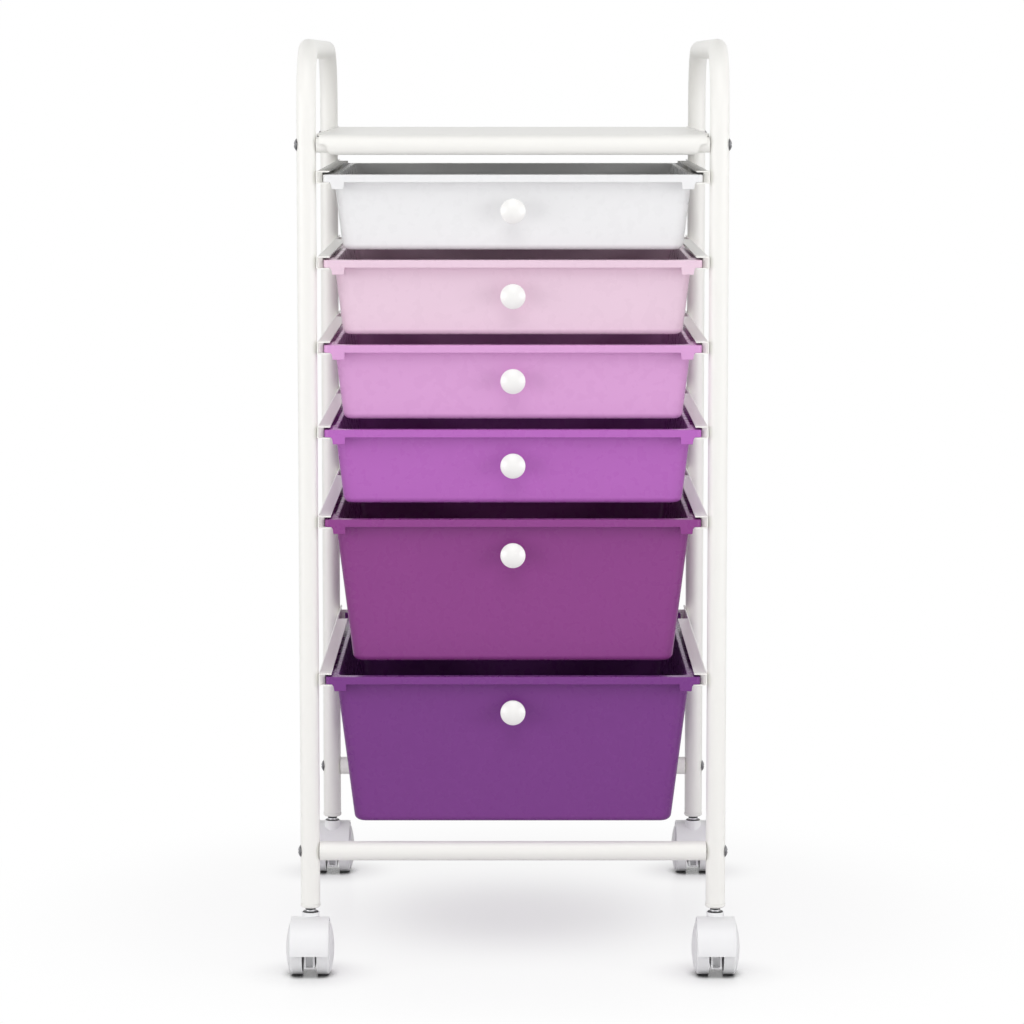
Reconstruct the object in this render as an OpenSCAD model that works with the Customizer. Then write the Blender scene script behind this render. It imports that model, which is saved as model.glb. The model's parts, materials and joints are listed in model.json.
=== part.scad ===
// Rolling drawer tower: two bent tube side frames joined by a rolled sheet tray and two
// bars, six drawers that hang by their rims in C-channel runners, and four twin-wheel
// casters. Millimetres, +Z up, -Y the front. The origin is on the floor, midway between
// the four axles.

/* [Frame] */
// Distance between the left and right post axes
post_span_x = 315; // [260:1:420]
// Distance between the front and back post axes
post_span_y = 378; // [300:1:460]
// Outer diameter of the frame tube
tube_d = 15; // [13:0.5:18]
// Wall of the frame tube
tube_wall = 1; // [0.8:0.1:1.5]
// Radius of the handle bends at the tube's centre line
bend_r = 45; // [25:1:80]
// Rise of the handle's top above the tray
handle_rise = 72.7; // [60:0.1:120]
// Rise of the bottom bars' axis above the lower ends of the legs
bar_rise = 44.3; // [25:0.1:90]

/* [Tray] */
// Thickness of the tray's sheet
sheet_t = 0.8; // [0.6:0.1:1.4]
// Diameter of the rolled front and back edges
roll_d = 15.4; // [13:0.1:18]
// Gap between the ends of the rolls and the posts
roll_end_gap = 2.3; // [0.5:0.1:4]
// Gap between the tray's sides and the posts
tray_side_gap = 0.4; // [0.2:0.1:2]
// Rise of the bead along the tray's sides
side_bead_h = 0.8; // [0.4:0.1:2]
// Length of the cut-back under each end of the rolls
roll_cut = 6.5; // [4:0.1:12]
// Radius of the two arcs of the cut-back
roll_cut_r = 4.3; // [2:0.1:6]
// Depth of the hems along the tray's sides
hem_h = 11; // [6:0.5:14]
// Gap between the top drawer's rim and the tray's underside
tray_gap = 14.9; // [8:0.1:60]

/* [Fixings] */
// Diameter of the frame screws
screw_d = 5; // [4:0.5:6]
// Diameter of the frame screws' heads
screw_head_d = 9.6; // [7:0.1:11]
// Height of the frame screws' heads
screw_head_h = 2; // [1.6:0.1:3.5]
// Length of the threaded inserts
insert_l = 24; // [15:1:40]
// Diameter of the runner rivets
rivet_d = 3.2; // [2.4:0.1:4]
// Diameter of the rivets' heads
rivet_head_d = 5.6; // [4.8:0.1:6]
// Height of the rivets' heads
rivet_head_h = 1.1; // [0.6:0.1:1.6]

/* [Runners] */
// Thickness of the channel's sheet
rail_t = 1; // [0.8:0.1:1.4]
// Width of the channel's lips, measured from its back
rail_w = 10; // [8:0.1:12]
// Room above a drawer's rim inside the channel
rail_head = 1.8; // [0.6:0.1:3]
// Gap between a drawer's rim and the channel's back
rail_side_gap = 4.3; // [2.2:0.1:5]
// Gap between a drawer's rim and the channel's turned-in front end
side_play = 0.4; // [0.2:0.1:1.2]
// Set-back of that turned-in end
end_setback = 3.3; // [0.5:0.1:3.6]
// Depth of the stop tab behind the drawer
stop_l = 1.2; // [0.8:0.1:3]
// Distance from the runner's back end to the drawer's back
rear_gap = 24; // [6:1:60]

/* [Drawers] */
// Height of the four shallow drawers
shallow_h = 57.6; // [45:0.1:90]
// Height of the upper deep drawer
deep_h = 112; // [80:0.1:150]
// Height of the lowest drawer
bottom_h = 116; // [80:0.1:150]
// Gap under each of the three upper drawers
shallow_gap = 7.4; // [3:0.1:30]
// Gap under the fourth drawer
step_gap = 11.6; // [3:0.1:30]
// Gap under the upper deep drawer
deep_gap = 10.3; // [3:0.1:30]
// Gap between the lowest drawer and the bottom bars
bar_gap = 14.1; // [4:0.1:60]
// Wall of the drawers
drawer_wall = 2.1; // [1.5:0.1:3]
// Height of the rim's face
rim_h = 5.8; // [4.5:0.1:8]
// Overhang of the rim over the walls
rim_overhang = 7.4; // [5:0.1:9]
// Thickness of the rim
rim_t = 1.8; // [1.2:0.1:2.4]
// Draft of the side walls in degrees
side_draft = 7; // [2:0.5:8]
// Draft of the front and back walls in degrees
front_draft = 4; // [1:0.5:6]
// Radius of the walls' upright corners
corner_r = 9; // [5:0.5:14]
// Radius of the rim's corners
rim_corner_r = 4; // [2.5:0.5:7]
// Radius of the floor's edge
floor_r = 4.5; // [3:0.5:7]
// Width of the tabs under the rim's front corners
tab_w = 9.9; // [6:0.1:16]
// Drop of those tabs below the rim
tab_h = 5.3; // [3:0.1:9]
// Length of the full-height rim behind the front corners
corner_l = 42; // [20:1:80]

/* [Knobs] */
// Diameter of the knobs
knob_d = 19.3; // [15:0.1:26]
// Rise of the knob's face above its foot
knob_l = 15; // [12:0.5:24]
// Diameter of the knob's foot
knob_foot_d = 9; // [7:0.5:12]
// Drop of the knob's axis below the rim's top
knob_drop = 27.7; // [22:0.1:35]
// Diameter of the knob's screw
knob_screw_d = 4; // [3:0.5:5]

/* [Casters] */
// Diameter of the wheels
wheel_d = 42; // [36:1:60]
// Width over the two treads
tread_span = 30.4; // [26:0.1:40]
// Clear gap between the two wheels
wheel_gap = 11.4; // [9.4:0.1:14]
// Bulge of the wheels' outer discs
disc_bulge = 3.4; // [2:0.1:5]
// Distance from the stem's axis to the axle, the trail
trail = 9; // [8:0.5:14]
// Width of the hood
hood_w = 30; // [25:0.1:40]
// Thickness of the hood
hood_t = 1.8; // [1.2:0.1:3]
// Gap between the wheels and the hood
hood_gap = 1; // [0.5:0.1:2]
// Thickness of the web between the wheels
web_t = 8.8; // [6:0.1:9]
// Width of the pockets in the web's two ends
pocket_w = 5.4; // [3:0.1:6]
// Depth of those pockets
pocket_l = 6; // [3:0.1:7]
// Diameter of the axle
axle_d = 5; // [4:0.5:6]
// Diameter of the stem below its flange
stem_d = 7; // [5:0.5:7]
// Length of the stem's grip inside the leg plug
grip_l = 32; // [20:1:45]
// Diameter of the stem's grip
grip_d = 8; // [6:0.5:9]
// Diameter of the collar on the hood
collar_d = 13.5; // [12.5:0.1:16]
// Rise of the collar above the hood's crown
collar_rise = 2.4; // [1:0.1:6]
// Gap between the collar and the leg plug
neck_l = 3.8; // [2.5:0.1:8]
// Height of the leg plug's flared lip
lip_h = 3; // [2:0.1:6]
// Overhang of that lip past the tube
lip_flare = 0.35; // [0.1:0.05:1]

/* [Hidden] */
$fn = 48;
fit = 0.1;          // clearance of fixed pieces in their seats
run = 0.05;         // radial clearance of turning fits
slack = 0.3;        // face clearance between pieces that turn on each other
glide = 0.1;        // gap between a drawer's rim and the lip that it slides on
over = 1;           // how far a cut runs past what it cuts
skin = 0.01;        // thickness of the slabs that a drafted shell is stretched over
press = 0.02;       // clearance of the axle in the hood
sunk = 0.5;         // how far a joined piece is sunk into what carries it

bore_r = tube_d / 2 - tube_wall;
roll_r = roll_d / 2;
roll_bore_r = roll_r - sheet_t;
front_y = -post_span_y / 2;
back_y = post_span_y / 2;
post_x = post_span_x / 2;
inner_x = post_x - tube_d / 2;
end_x = inner_x - roll_end_gap;
tray_x = inner_x - tray_side_gap;
cut_rise = 0.7;     // height of the cut-back's shoulder above the roll's axis

// Heights, from the floor up
axle_z = wheel_d / 2;
well_r = wheel_d / 2 + hood_gap;
hood_r = well_r + hood_t;
collar_z = axle_z + hood_r + collar_rise;
leg_z = collar_z + neck_l;
tube_z = leg_z + lip_h;
lip_taper = 0.8;    // how far the plug's foot draws in from the tube
lip_taper_h = 1.2;  // height of that taper
grip_room = 0.5;    // free length above the stem's grip
plug_cap = 1.5;     // closed length of the plug above that
bar_z = leg_z + bar_rise;
drawer_h = [shallow_h, shallow_h, shallow_h, shallow_h, deep_h, bottom_h];
below = [shallow_gap, shallow_gap, shallow_gap, step_gap, deep_gap, bar_gap + tube_d / 2];
levels = len(drawer_h);
function rim_z(i) = i >= levels ? bar_z : rim_z(i + 1) + below[i] + drawer_h[i];
roll_z = rim_z(0) + tray_gap + roll_r;
tray_z = roll_z + roll_r;
handle_z = tray_z + handle_rise - tube_d / 2;

// Fixings
screw_short = 4;    // how much shorter a frame screw's reach is than an insert
neck_step = 0.8;    // how much thinner an insert's neck is, in radius
neck_room = 0.5;    // length of the neck inside the roll, past the cut-back
head_rim = 2.4;     // width left round the recess in a screw's head
recess_w = 0.9;
recess_l = screw_head_d - 2 * head_rim;
recess_h = 0.9;
rivet_reach = 0.6;  // straight length of the rivet past the tube's wall
rivet_tail_d = rivet_d + 1.2;
rivet_tail_h = 1.4;

// Runners
rail_h = glide + rim_h + rail_head + 2 * rail_t;
function rail_z(i) = rim_z(i) - rim_h - rail_t - glide;
rail_front = front_y - tube_d / 2;
rail_back = back_y + tube_d / 2;
stop_reach = 3;     // how far the stop tab reaches behind the rim

// Drawers
rim_x = inner_x - rail_t - rail_side_gap;
rim_front = rail_front;
rim_back = rail_back - rear_gap;
rim_y = (rim_back - rim_front) / 2;
drawer_y = (rim_back + rim_front) / 2;
tub_x = rim_x - rim_overhang;
tub_y = rim_y - rim_overhang;
corner_steps = 6;
least_corner_r = 5; // least radius of the upright corners, inside and at the floor
bead_t = 0.5;       // how far the bead on the side walls stands out from them
flange_front = corner_l - rim_y;
flange_back = rim_y - rim_overhang;
tab_t = rim_t + 0.8;
tab_slant = 0.6;
tab_flare = 1.1;    // how far the tab's outer side widens towards the rim
tab_flare_h = 1.6;
tab_gap = 0.4;      // gap between that flare and the channel's lower lip
tab_end_x = inner_x - rail_w - tab_gap - tab_flare;
// y of the front wall's outer face at a drop below the rim's top
function wall_y(drop) = rim_front + rim_overhang + drop * tan(front_draft);
knob_dome = 4.2;
knob_edge = 3;
knob_bore_l = 9;
knob_foot_y = wall_y(knob_drop - knob_foot_d / 2);
knob_ball_r = (knob_d * knob_d / 4 + knob_dome * knob_dome) / (2 * knob_dome);
knob_screw_l = 10;
knob_screw_head_d = 8;
knob_screw_head_h = 2.2;
knob_screw_y = wall_y(knob_drop + knob_screw_head_d / 2) + drawer_wall * (1 + tan(front_draft));

// Casters
wheel_in = wheel_gap / 2;
wheel_out = tread_span / 2;
disc_r = (axle_z * axle_z + disc_bulge * disc_bulge) / (2 * disc_bulge);
edge_r = 2.2;
tread_t = 2.6;
disc_t = 2.4;
hub_wall = 3;
hub_r = axle_d / 2 + hub_wall;
web_hub_r = hub_r - 0.5;
axle_l = 2 * (wheel_out + disc_bulge - disc_t - slack);
web_short = 5.5;    // how much shorter the web's foot is than the wheels, at either end
web_l = axle_z - web_short;
web_foot_z = 6.4;
web_corner_r = 2.5;
pocket_floor = 1.5; // wall below the web's pockets
pocket_z = web_foot_z + pocket_floor;
hood_drop = 2.5;
boss_r = wheel_in - slack - fit;
boss_z = axle_z - 5;
boss_top_z = collar_z - 4;
flange_d = collar_d - 1.7;
flange_h = 1.6;
seat_h = 1.2;
boss_floor = 3;     // wall below the stem's bore
stem_bottom_z = boss_z + boss_floor;
stem_neck_d = 8;

frame_paint = [0.96, 0.96, 0.94];
steel = [0.45, 0.45, 0.46];
caster_white = [0.96, 0.96, 0.97];
wheel_grey = [0.86, 0.86, 0.87];
drawer_tint = [
    [0.92, 0.92, 0.92], [0.91, 0.80, 0.88], [0.84, 0.63, 0.83],
    [0.71, 0.41, 0.74], [0.55, 0.29, 0.55], [0.48, 0.26, 0.53]
];

// A cylinder along X from x0 to x1
module rod_x(r, x0, x1) {
    translate([x0, 0, 0]) rotate([0, 90, 0]) cylinder(r = r, h = x1 - x0);
}

// Children once for the left side, mirrored, or for the right side
module on_side(side) {
    if (side < 0) mirror([1, 0, 0]) children();
    else children();
}

// Children at both sides
module both_sides() {
    for (side = [-1, 1]) on_side(side) children();
}

// A filled upside-down U of radius r: two legs, two quarter bends and the handle bar
module u_run(r, z0) {
    bend_z = handle_z - bend_r;
    for (y = [front_y, back_y]) translate([0, y, z0]) cylinder(r = r, h = bend_z - z0);
    translate([0, back_y - bend_r, bend_z]) rotate([90, 0, 90])
        rotate_extrude(angle = 90) translate([bend_r, 0]) circle(r = r);
    translate([0, front_y + bend_r, bend_z]) rotate([90, 0, 90]) rotate([0, 0, 90])
        rotate_extrude(angle = 90) translate([bend_r, 0]) circle(r = r);
    translate([0, front_y + bend_r, handle_z]) rotate([-90, 0, 0])
        cylinder(r = r, h = post_span_y - 2 * bend_r);
}

// The joints that screws hold: y of the post, height, bore of the tube or roll that is held, and
// length of the insert's thin neck, which bridges the cut-back roll ends
insert_neck_l = roll_end_gap + roll_cut + roll_cut_r + neck_room;
screw_seats = [
    [front_y, roll_z, roll_bore_r, insert_neck_l], [back_y, roll_z, roll_bore_r, insert_neck_l],
    [front_y, bar_z, bore_r, 0], [back_y, bar_z, bore_r, 0]
];

// Right side frame: the hollow tube with its screw and rivet holes
module side_frame() {
    color(frame_paint) difference() {
        translate([post_x, 0, 0]) difference() {
            u_run(tube_d / 2, tube_z);
            u_run(bore_r, tube_z);
        }
        for (s = screw_seats) translate([0, s[0], s[1]])
            rod_x(screw_d / 2 + fit, inner_x - over, post_x + tube_d / 2 + over);
        for (i = [0 : levels - 1], y = [front_y, back_y])
            translate([0, y, rail_z(i) + rail_h / 2])
                rod_x(rivet_d / 2 + fit, inner_x - over, post_x);
    }
}

// One flared plug, with the seat of the stem's grip
module leg_plug() {
    difference() {
        union() {
            translate([0, 0, leg_z])
                cylinder(r1 = tube_d / 2 - lip_taper, r2 = tube_d / 2 + lip_flare, h = lip_taper_h);
            translate([0, 0, leg_z + lip_taper_h])
                cylinder(r = tube_d / 2 + lip_flare, h = lip_h - lip_taper_h);
            translate([0, 0, tube_z])
                cylinder(r = bore_r - fit, h = grip_l + grip_room + plug_cap - lip_h);
        }
        translate([0, 0, leg_z - over])
            cylinder(r = grip_d / 2 + fit, h = grip_l + grip_room + over);
    }
}

module leg_end_plugs() {
    color(frame_paint) both_sides()
        for (y = [front_y, back_y]) translate([post_x, y, 0]) leg_plug();
}

// The cut under one end of a roll, seen from the front: a step with a round shoulder that
// runs out in a round foot
module roll_end_cut() {
    rise = roll_r + cut_rise;
    difference() {
        square([roll_cut, rise]);
        translate([roll_cut - roll_cut_r, rise - roll_cut_r]) difference() {
            square(roll_cut_r + over);
            circle(r = roll_cut_r);
        }
    }
    translate([roll_cut, 0]) difference() {
        square([roll_cut_r, roll_cut_r]);
        translate([roll_cut_r, roll_cut_r]) circle(r = roll_cut_r);
    }
}

// Sheet tray: flat top, front and back edges rolled round, and along each side a hem that is
// folded down and stands up as a low bead
module top_tray() {
    color(frame_paint) difference() {
        union() {
            translate([-tray_x, front_y, tray_z - sheet_t])
                cube([2 * tray_x, post_span_y, sheet_t]);
            for (y = [front_y, back_y]) translate([0, y, roll_z]) rod_x(roll_r, -end_x, end_x);
            both_sides() translate([tray_x - sheet_t, front_y, tray_z - hem_h])
                cube([sheet_t, post_span_y, hem_h + side_bead_h]);
        }
        for (y = [front_y, back_y]) translate([0, y, roll_z])
            rod_x(roll_bore_r, -inner_x, inner_x);
        both_sides() for (y = [front_y, back_y])
            translate([end_x + skin, y + roll_r + over, roll_z - roll_r - skin])
                rotate([90, 0, 0]) mirror([1, 0, 0])
                    linear_extrude(2 * (roll_r + over)) roll_end_cut();
    }
}

// A tube between the posts, under the drawers
module bottom_bar(y) {
    color(frame_paint) translate([0, y, bar_z]) difference() {
        rod_x(tube_d / 2, -inner_x, inner_x);
        rod_x(bore_r, -inner_x - over, inner_x + over);
    }
}

module threaded_inserts() {
    color(frame_paint) both_sides() for (s = screw_seats) translate([0, s[0], s[1]])
        difference() {
            union() {
                rod_x(s[2] - fit, inner_x - s[3] - insert_l, inner_x - s[3]);
                if (s[3] > 0) rod_x(s[2] - fit - neck_step, inner_x - s[3] - sunk, inner_x);
            }
            rod_x(screw_d / 2 + fit, inner_x - s[3] - insert_l - over, inner_x + over);
        }
}

// A domed head of diameter d and height h on the plane x = 0, pointing to +X
module dome_head_x(d, h) {
    ball_r = (d * d / 4 + h * h) / (2 * h);
    rotate([0, 90, 0]) rotate_extrude() intersection() {
        translate([0, h - ball_r]) circle(r = ball_r);
        square([d / 2, h]);
    }
}

module frame_screw() {
    head_x = post_x + tube_d / 2;
    difference() {
        union() {
            translate([head_x, 0, 0]) dome_head_x(screw_head_d, screw_head_h);
            rod_x(screw_d / 2, inner_x - insert_l + screw_short, head_x);
        }
        for (turn = [0, 90]) translate([head_x + screw_head_h - recess_h, 0, 0])
            rotate([turn, 0, 0]) translate([0, -recess_l / 2, -recess_w / 2])
                cube([recess_h + over, recess_l, recess_w]);
    }
}

module frame_screws() {
    color(steel) both_sides() for (s = screw_seats) translate([0, s[0], s[1]]) frame_screw();
}

// Right runner: a C channel that opens inwards. Its back is turned in at the front end, beside
// the drawer's rim, and a stop tab stands behind the drawer
module rail(i) {
    color(frame_paint) translate([0, 0, rail_z(i)]) difference() {
        union() {
            difference() {
                translate([inner_x - rail_w, rail_front, 0])
                    cube([rail_w, rail_back - rail_front, rail_h]);
                translate([inner_x - rail_w - over, rail_front - over, rail_t])
                    cube([rail_w + over - rail_t, rail_back - rail_front + 2 * over,
                        rail_h - 2 * rail_t]);
            }
            translate([rim_x + side_play, rail_front + end_setback, rail_t])
                cube([rail_side_gap - side_play + sunk, rail_t, rail_h - 2 * rail_t]);
            translate([rim_x - stop_reach, rim_back + slack, rail_t])
                cube([rail_side_gap + stop_reach + sunk, stop_l, rail_h - 2 * rail_t]);
        }
        for (y = [front_y, back_y]) translate([0, y, rail_h / 2])
            rod_x(rivet_d / 2 + fit, inner_x - rail_t - over, inner_x + over);
    }
}

// A rivet: its head lies in the channel, its tail is swelled inside the tube
module rivet() {
    tail_x = inner_x + tube_wall + rivet_reach;
    rod_x(rivet_d / 2, inner_x - rail_t, tail_x);
    translate([inner_x - rail_t, 0, 0]) mirror([1, 0, 0]) dome_head_x(rivet_head_d, rivet_head_h);
    translate([tail_x, 0, 0]) dome_head_x(rivet_tail_d, rivet_tail_h);
}

module rail_rivets() {
    color(steel) both_sides() for (i = [0 : levels - 1], y = [front_y, back_y])
        translate([0, y, rail_z(i) + rail_h / 2]) rivet();
}

// Corner points of a rectangle of half sizes x, y with corners of radius r
function round_rect(x, y, r) = [
    for (q = [0 : 3], s = [0 : corner_steps])
        let (a = 90 * (q + s / corner_steps), sx = q == 0 || q == 3 ? 1 : -1, sy = q < 2 ? 1 : -1)
        [sx * (x - r) + r * cos(a), sy * (y - r) + r * sin(a)]
];

// One thin slab of a drafted shell: z below the rim's top, inset from the wall's outer face
module slab(z, inset) {
    x = tub_x + z * tan(side_draft) - inset;
    y = tub_y + z * tan(front_draft) - inset;
    r = corner_r - min(inset, corner_r - least_corner_r);
    translate([0, 0, z]) linear_extrude(skin) polygon(round_rect(x, y, r));
}

// The drafted block between the rim's level and h below it, shrunk by inset, round below
module drafted_block(h, inset, top) {
    r = floor_r - inset;
    hull() {
        slab(top, inset);
        slab(-h + r, inset);
        slab(-h + r * (1 - cos(45)), inset + r * (1 - sin(45)));
        slab(-h, inset + r);
    }
}

// One tab under the rim, right of the centre: a trapezium as seen from the front, wider at the
// outer side where it meets the rim
module rim_tab() {
    translate([tab_end_x, -rim_y + tab_t, -rim_h]) rotate([90, 0, 0]) linear_extrude(tab_t)
        polygon([[-tab_w, sunk], [tab_flare, sunk], [tab_flare, 0], [0, -tab_flare_h],
            [-tab_slant, -tab_h], [tab_slant - tab_w, -tab_h], [-tab_w, 0]]);
}

// The block that the right side's flange and its two steps are left of
module flange_block() {
    translate([tub_x - drawer_wall / 2, flange_front - rim_t, -rim_h])
        cube([rim_overhang + drawer_wall / 2, flange_back - flange_front + 2 * rim_t, rim_h]);
}

// What is cut away above that flange, outside the bead on the wall
module flange_cut() {
    translate([tub_x + bead_t, flange_front, rim_t - rim_h])
        cube([rim_overhang + over, flange_back - flange_front, rim_h - rim_t + over]);
}

// A drawer: drafted tub and turned-down rim. Along the sides the rim drops to a flange that runs
// in the channel, behind full-height front corners with a tab under each
module drawer(i) {
    h = drawer_h[i];
    color(drawer_tint[i]) translate([0, drawer_y, rim_z(i)]) difference() {
        union() {
            drafted_block(h, 0, -skin);
            translate([0, 0, -rim_t]) linear_extrude(rim_t)
                polygon(round_rect(rim_x, rim_y, rim_corner_r));
            translate([0, 0, -rim_h]) linear_extrude(rim_h) difference() {
                polygon(round_rect(rim_x, rim_y, rim_corner_r));
                polygon(round_rect(rim_x - rim_t, rim_y - rim_t, rim_corner_r - rim_t));
            }
            both_sides() {
                rim_tab();
                flange_block();
            }
        }
        both_sides() flange_cut();
        translate([0, 0, drawer_wall]) drafted_block(h, drawer_wall, over);
        translate([0, -rim_y - over, -knob_drop]) rotate([-90, 0, 0])
            cylinder(r = knob_screw_d / 2 + fit, h = knob_screw_y - rim_front + 2 * over);
    }
}

// A mushroom knob: foot, undercut neck and a domed disc, its axis along -Y
module knob(i) {
    shank_l = knob_l - knob_dome - knob_edge;
    color(frame_paint) translate([0, knob_foot_y, rim_z(i) - knob_drop]) rotate([90, 0, 0])
        difference() {
            rotate_extrude() {
                square([knob_foot_d / 2, shank_l]);
                translate([0, shank_l]) intersection() {
                    square([knob_d / 2, knob_edge + knob_dome]);
                    translate([0, knob_edge + knob_dome - knob_ball_r]) circle(r = knob_ball_r);
                }
            }
            translate([0, 0, -over])
                cylinder(r = knob_screw_d / 2 + fit, h = knob_bore_l + over);
        }
}

// A pan screw from inside the drawer into the knob
module knob_screw(i) {
    color(steel) translate([0, knob_screw_y, rim_z(i) - knob_drop]) rotate([90, 0, 0]) {
        cylinder(r = knob_screw_d / 2, h = knob_screw_l);
        translate([0, 0, -knob_screw_head_h])
            cylinder(r = knob_screw_head_d / 2, h = knob_screw_head_h);
    }
}

// Caster pieces as on a front leg, with the stem's axis on Z and the axle in front of it
module stem() {
    color(steel) {
        translate([0, 0, stem_bottom_z]) cylinder(r = stem_d / 2, h = collar_z - stem_bottom_z);
        translate([0, 0, collar_z - seat_h + slack]) cylinder(r = flange_d / 2, h = flange_h);
        translate([0, 0, collar_z]) cylinder(r = stem_neck_d / 2, h = leg_z - collar_z);
        translate([0, 0, leg_z - over]) cylinder(r = grip_d / 2, h = grip_l + over);
    }
}

// The hood's side view: a crown over the wheels
module crown_outline(r) {
    intersection() {
        circle(r = r);
        translate([-r, -hood_drop]) square([2 * r, r + hood_drop]);
    }
}

// The web's foot below the axle, in side view: a block with round lower corners
module web_outline() {
    foot = web_foot_z - axle_z;
    translate([-web_l, foot + web_corner_r]) square([2 * web_l, -foot - web_corner_r]);
    translate([web_corner_r - web_l, foot]) square([2 * (web_l - web_corner_r), web_corner_r]);
    for (end = [-1, 1]) translate([end * (web_l - web_corner_r), foot + web_corner_r])
        circle(r = web_corner_r);
}

// A pocket in one end of the web, up to a height: end -1 is away from the stem, 1 below it
module web_pocket(end, top_z) {
    near_y = end * web_l - trail;
    translate([-pocket_w / 2, min(near_y + end * over, near_y - end * pocket_l), pocket_z])
        cube([pocket_w, pocket_l + over, top_z - pocket_z]);
}

module hood() {
    color(caster_white) difference() {
        union() {
            difference() {
                union() {
                    translate([-hood_w / 2, -trail, axle_z]) rotate([90, 0, 90])
                        linear_extrude(hood_w) crown_outline(hood_r);
                    translate([-web_t / 2, -trail, axle_z]) rotate([90, 0, 90])
                        linear_extrude(web_t) web_outline();
                    translate([0, 0, axle_z]) cylinder(r = collar_d / 2, h = collar_z - axle_z);
                }
                both_sides() translate([0, -trail, axle_z])
                    rod_x(well_r, web_t / 2, hood_w / 2 + over);
            }
            translate([0, -trail, axle_z])
                rod_x(web_hub_r, -wheel_in + slack, wheel_in - slack);
            translate([0, 0, boss_z]) cylinder(r = boss_r, h = boss_top_z - boss_z);
        }
        web_pocket(-1, axle_z);
        web_pocket(1, boss_z);
        translate([0, 0, stem_bottom_z - slack])
            cylinder(r = stem_d / 2 + run, h = collar_z - stem_bottom_z + slack + over);
        translate([0, 0, collar_z - seat_h]) cylinder(r = flange_d / 2 + slack, h = seat_h + over);
        translate([0, -trail, axle_z]) rod_x(axle_d / 2 + press, -hood_w, hood_w);
    }
}

module axle() {
    color(steel) translate([0, -trail, axle_z]) rod_x(axle_d / 2, -axle_l / 2, axle_l / 2);
}

// Right wheel: tread and domed disc in one moulding, hollow towards the web
module wheel() {
    r = wheel_d / 2;
    color(wheel_grey) translate([0, -trail, axle_z]) rotate([0, 90, 0]) rotate_extrude()
        difference() {
            union() {
                translate([0, wheel_in]) square([r, wheel_out - wheel_in - edge_r]);
                translate([0, wheel_out - edge_r]) square([r - edge_r, edge_r]);
                translate([r - edge_r, wheel_out - edge_r]) circle(r = edge_r);
                intersection() {
                    translate([0, wheel_out]) square([r - edge_r, disc_bulge]);
                    translate([0, wheel_out + disc_bulge - disc_r]) circle(r = disc_r);
                }
            }
            translate([hub_r, wheel_in - over])
                square([r - tread_t - hub_r, wheel_out - wheel_in - disc_t + over]);
            translate([-over, wheel_in - over])
                square([axle_d / 2 + run + over, axle_l / 2 + slack - wheel_in + over]);
        }
}

// Places a caster piece at one of the four legs: the back casters trail backwards
module at_leg(side, y) {
    translate([side * post_x, y, 0])
        if (y > 0) mirror([0, 1, 0]) children();
        else children();
}

on_side(-1) side_frame();  // left_side_frame
on_side(1) side_frame();  // right_side_frame
leg_end_plugs();
top_tray();
bottom_bar(front_y);  // front_bottom_bar
bottom_bar(back_y);  // back_bottom_bar
threaded_inserts();
frame_screws();
on_side(-1) rail(0);  // left_rail_1
on_side(-1) rail(1);  // left_rail_2
on_side(-1) rail(2);  // left_rail_3
on_side(-1) rail(3);  // left_rail_4
on_side(-1) rail(4);  // left_rail_5
on_side(-1) rail(5);  // left_rail_6
on_side(1) rail(0);  // right_rail_1
on_side(1) rail(1);  // right_rail_2
on_side(1) rail(2);  // right_rail_3
on_side(1) rail(3);  // right_rail_4
on_side(1) rail(4);  // right_rail_5
on_side(1) rail(5);  // right_rail_6
rail_rivets();
drawer(0);  // drawer_1
drawer(1);  // drawer_2
drawer(2);  // drawer_3
drawer(3);  // drawer_4
drawer(4);  // drawer_5
drawer(5);  // drawer_6
knob(0);  // knob_1
knob(1);  // knob_2
knob(2);  // knob_3
knob(3);  // knob_4
knob(4);  // knob_5
knob(5);  // knob_6
knob_screw(0);  // knob_screw_1
knob_screw(1);  // knob_screw_2
knob_screw(2);  // knob_screw_3
knob_screw(3);  // knob_screw_4
knob_screw(4);  // knob_screw_5
knob_screw(5);  // knob_screw_6
at_leg(-1, front_y) stem();  // front_left_stem
at_leg(-1, front_y) hood();  // front_left_hood
at_leg(-1, front_y) axle();  // front_left_axle
at_leg(-1, front_y) on_side(-1) wheel();  // front_left_wheel_a
at_leg(-1, front_y) on_side(1) wheel();  // front_left_wheel_b
at_leg(1, front_y) stem();  // front_right_stem
at_leg(1, front_y) hood();  // front_right_hood
at_leg(1, front_y) axle();  // front_right_axle
at_leg(1, front_y) on_side(-1) wheel();  // front_right_wheel_a
at_leg(1, front_y) on_side(1) wheel();  // front_right_wheel_b
at_leg(-1, back_y) stem();  // back_left_stem
at_leg(-1, back_y) hood();  // back_left_hood
at_leg(-1, back_y) axle();  // back_left_axle
at_leg(-1, back_y) on_side(-1) wheel();  // back_left_wheel_a
at_leg(-1, back_y) on_side(1) wheel();  // back_left_wheel_b
at_leg(1, back_y) stem();  // back_right_stem
at_leg(1, back_y) hood();  // back_right_hood
at_leg(1, back_y) axle();  // back_right_axle
at_leg(1, back_y) on_side(-1) wheel();  // back_right_wheel_a
at_leg(1, back_y) on_side(1) wheel();  // back_right_wheel_b
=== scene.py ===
"""Rolling drawer tower: the finished surfaces of every piece, laid over the fixed CAD frame.

Sizes are millimetres in the row frame (+Z up, -Y the front). What the frame already holds is read
from it, and the small sizes that only the looks need are properties that a user can change.
"""

import json
import math

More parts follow.
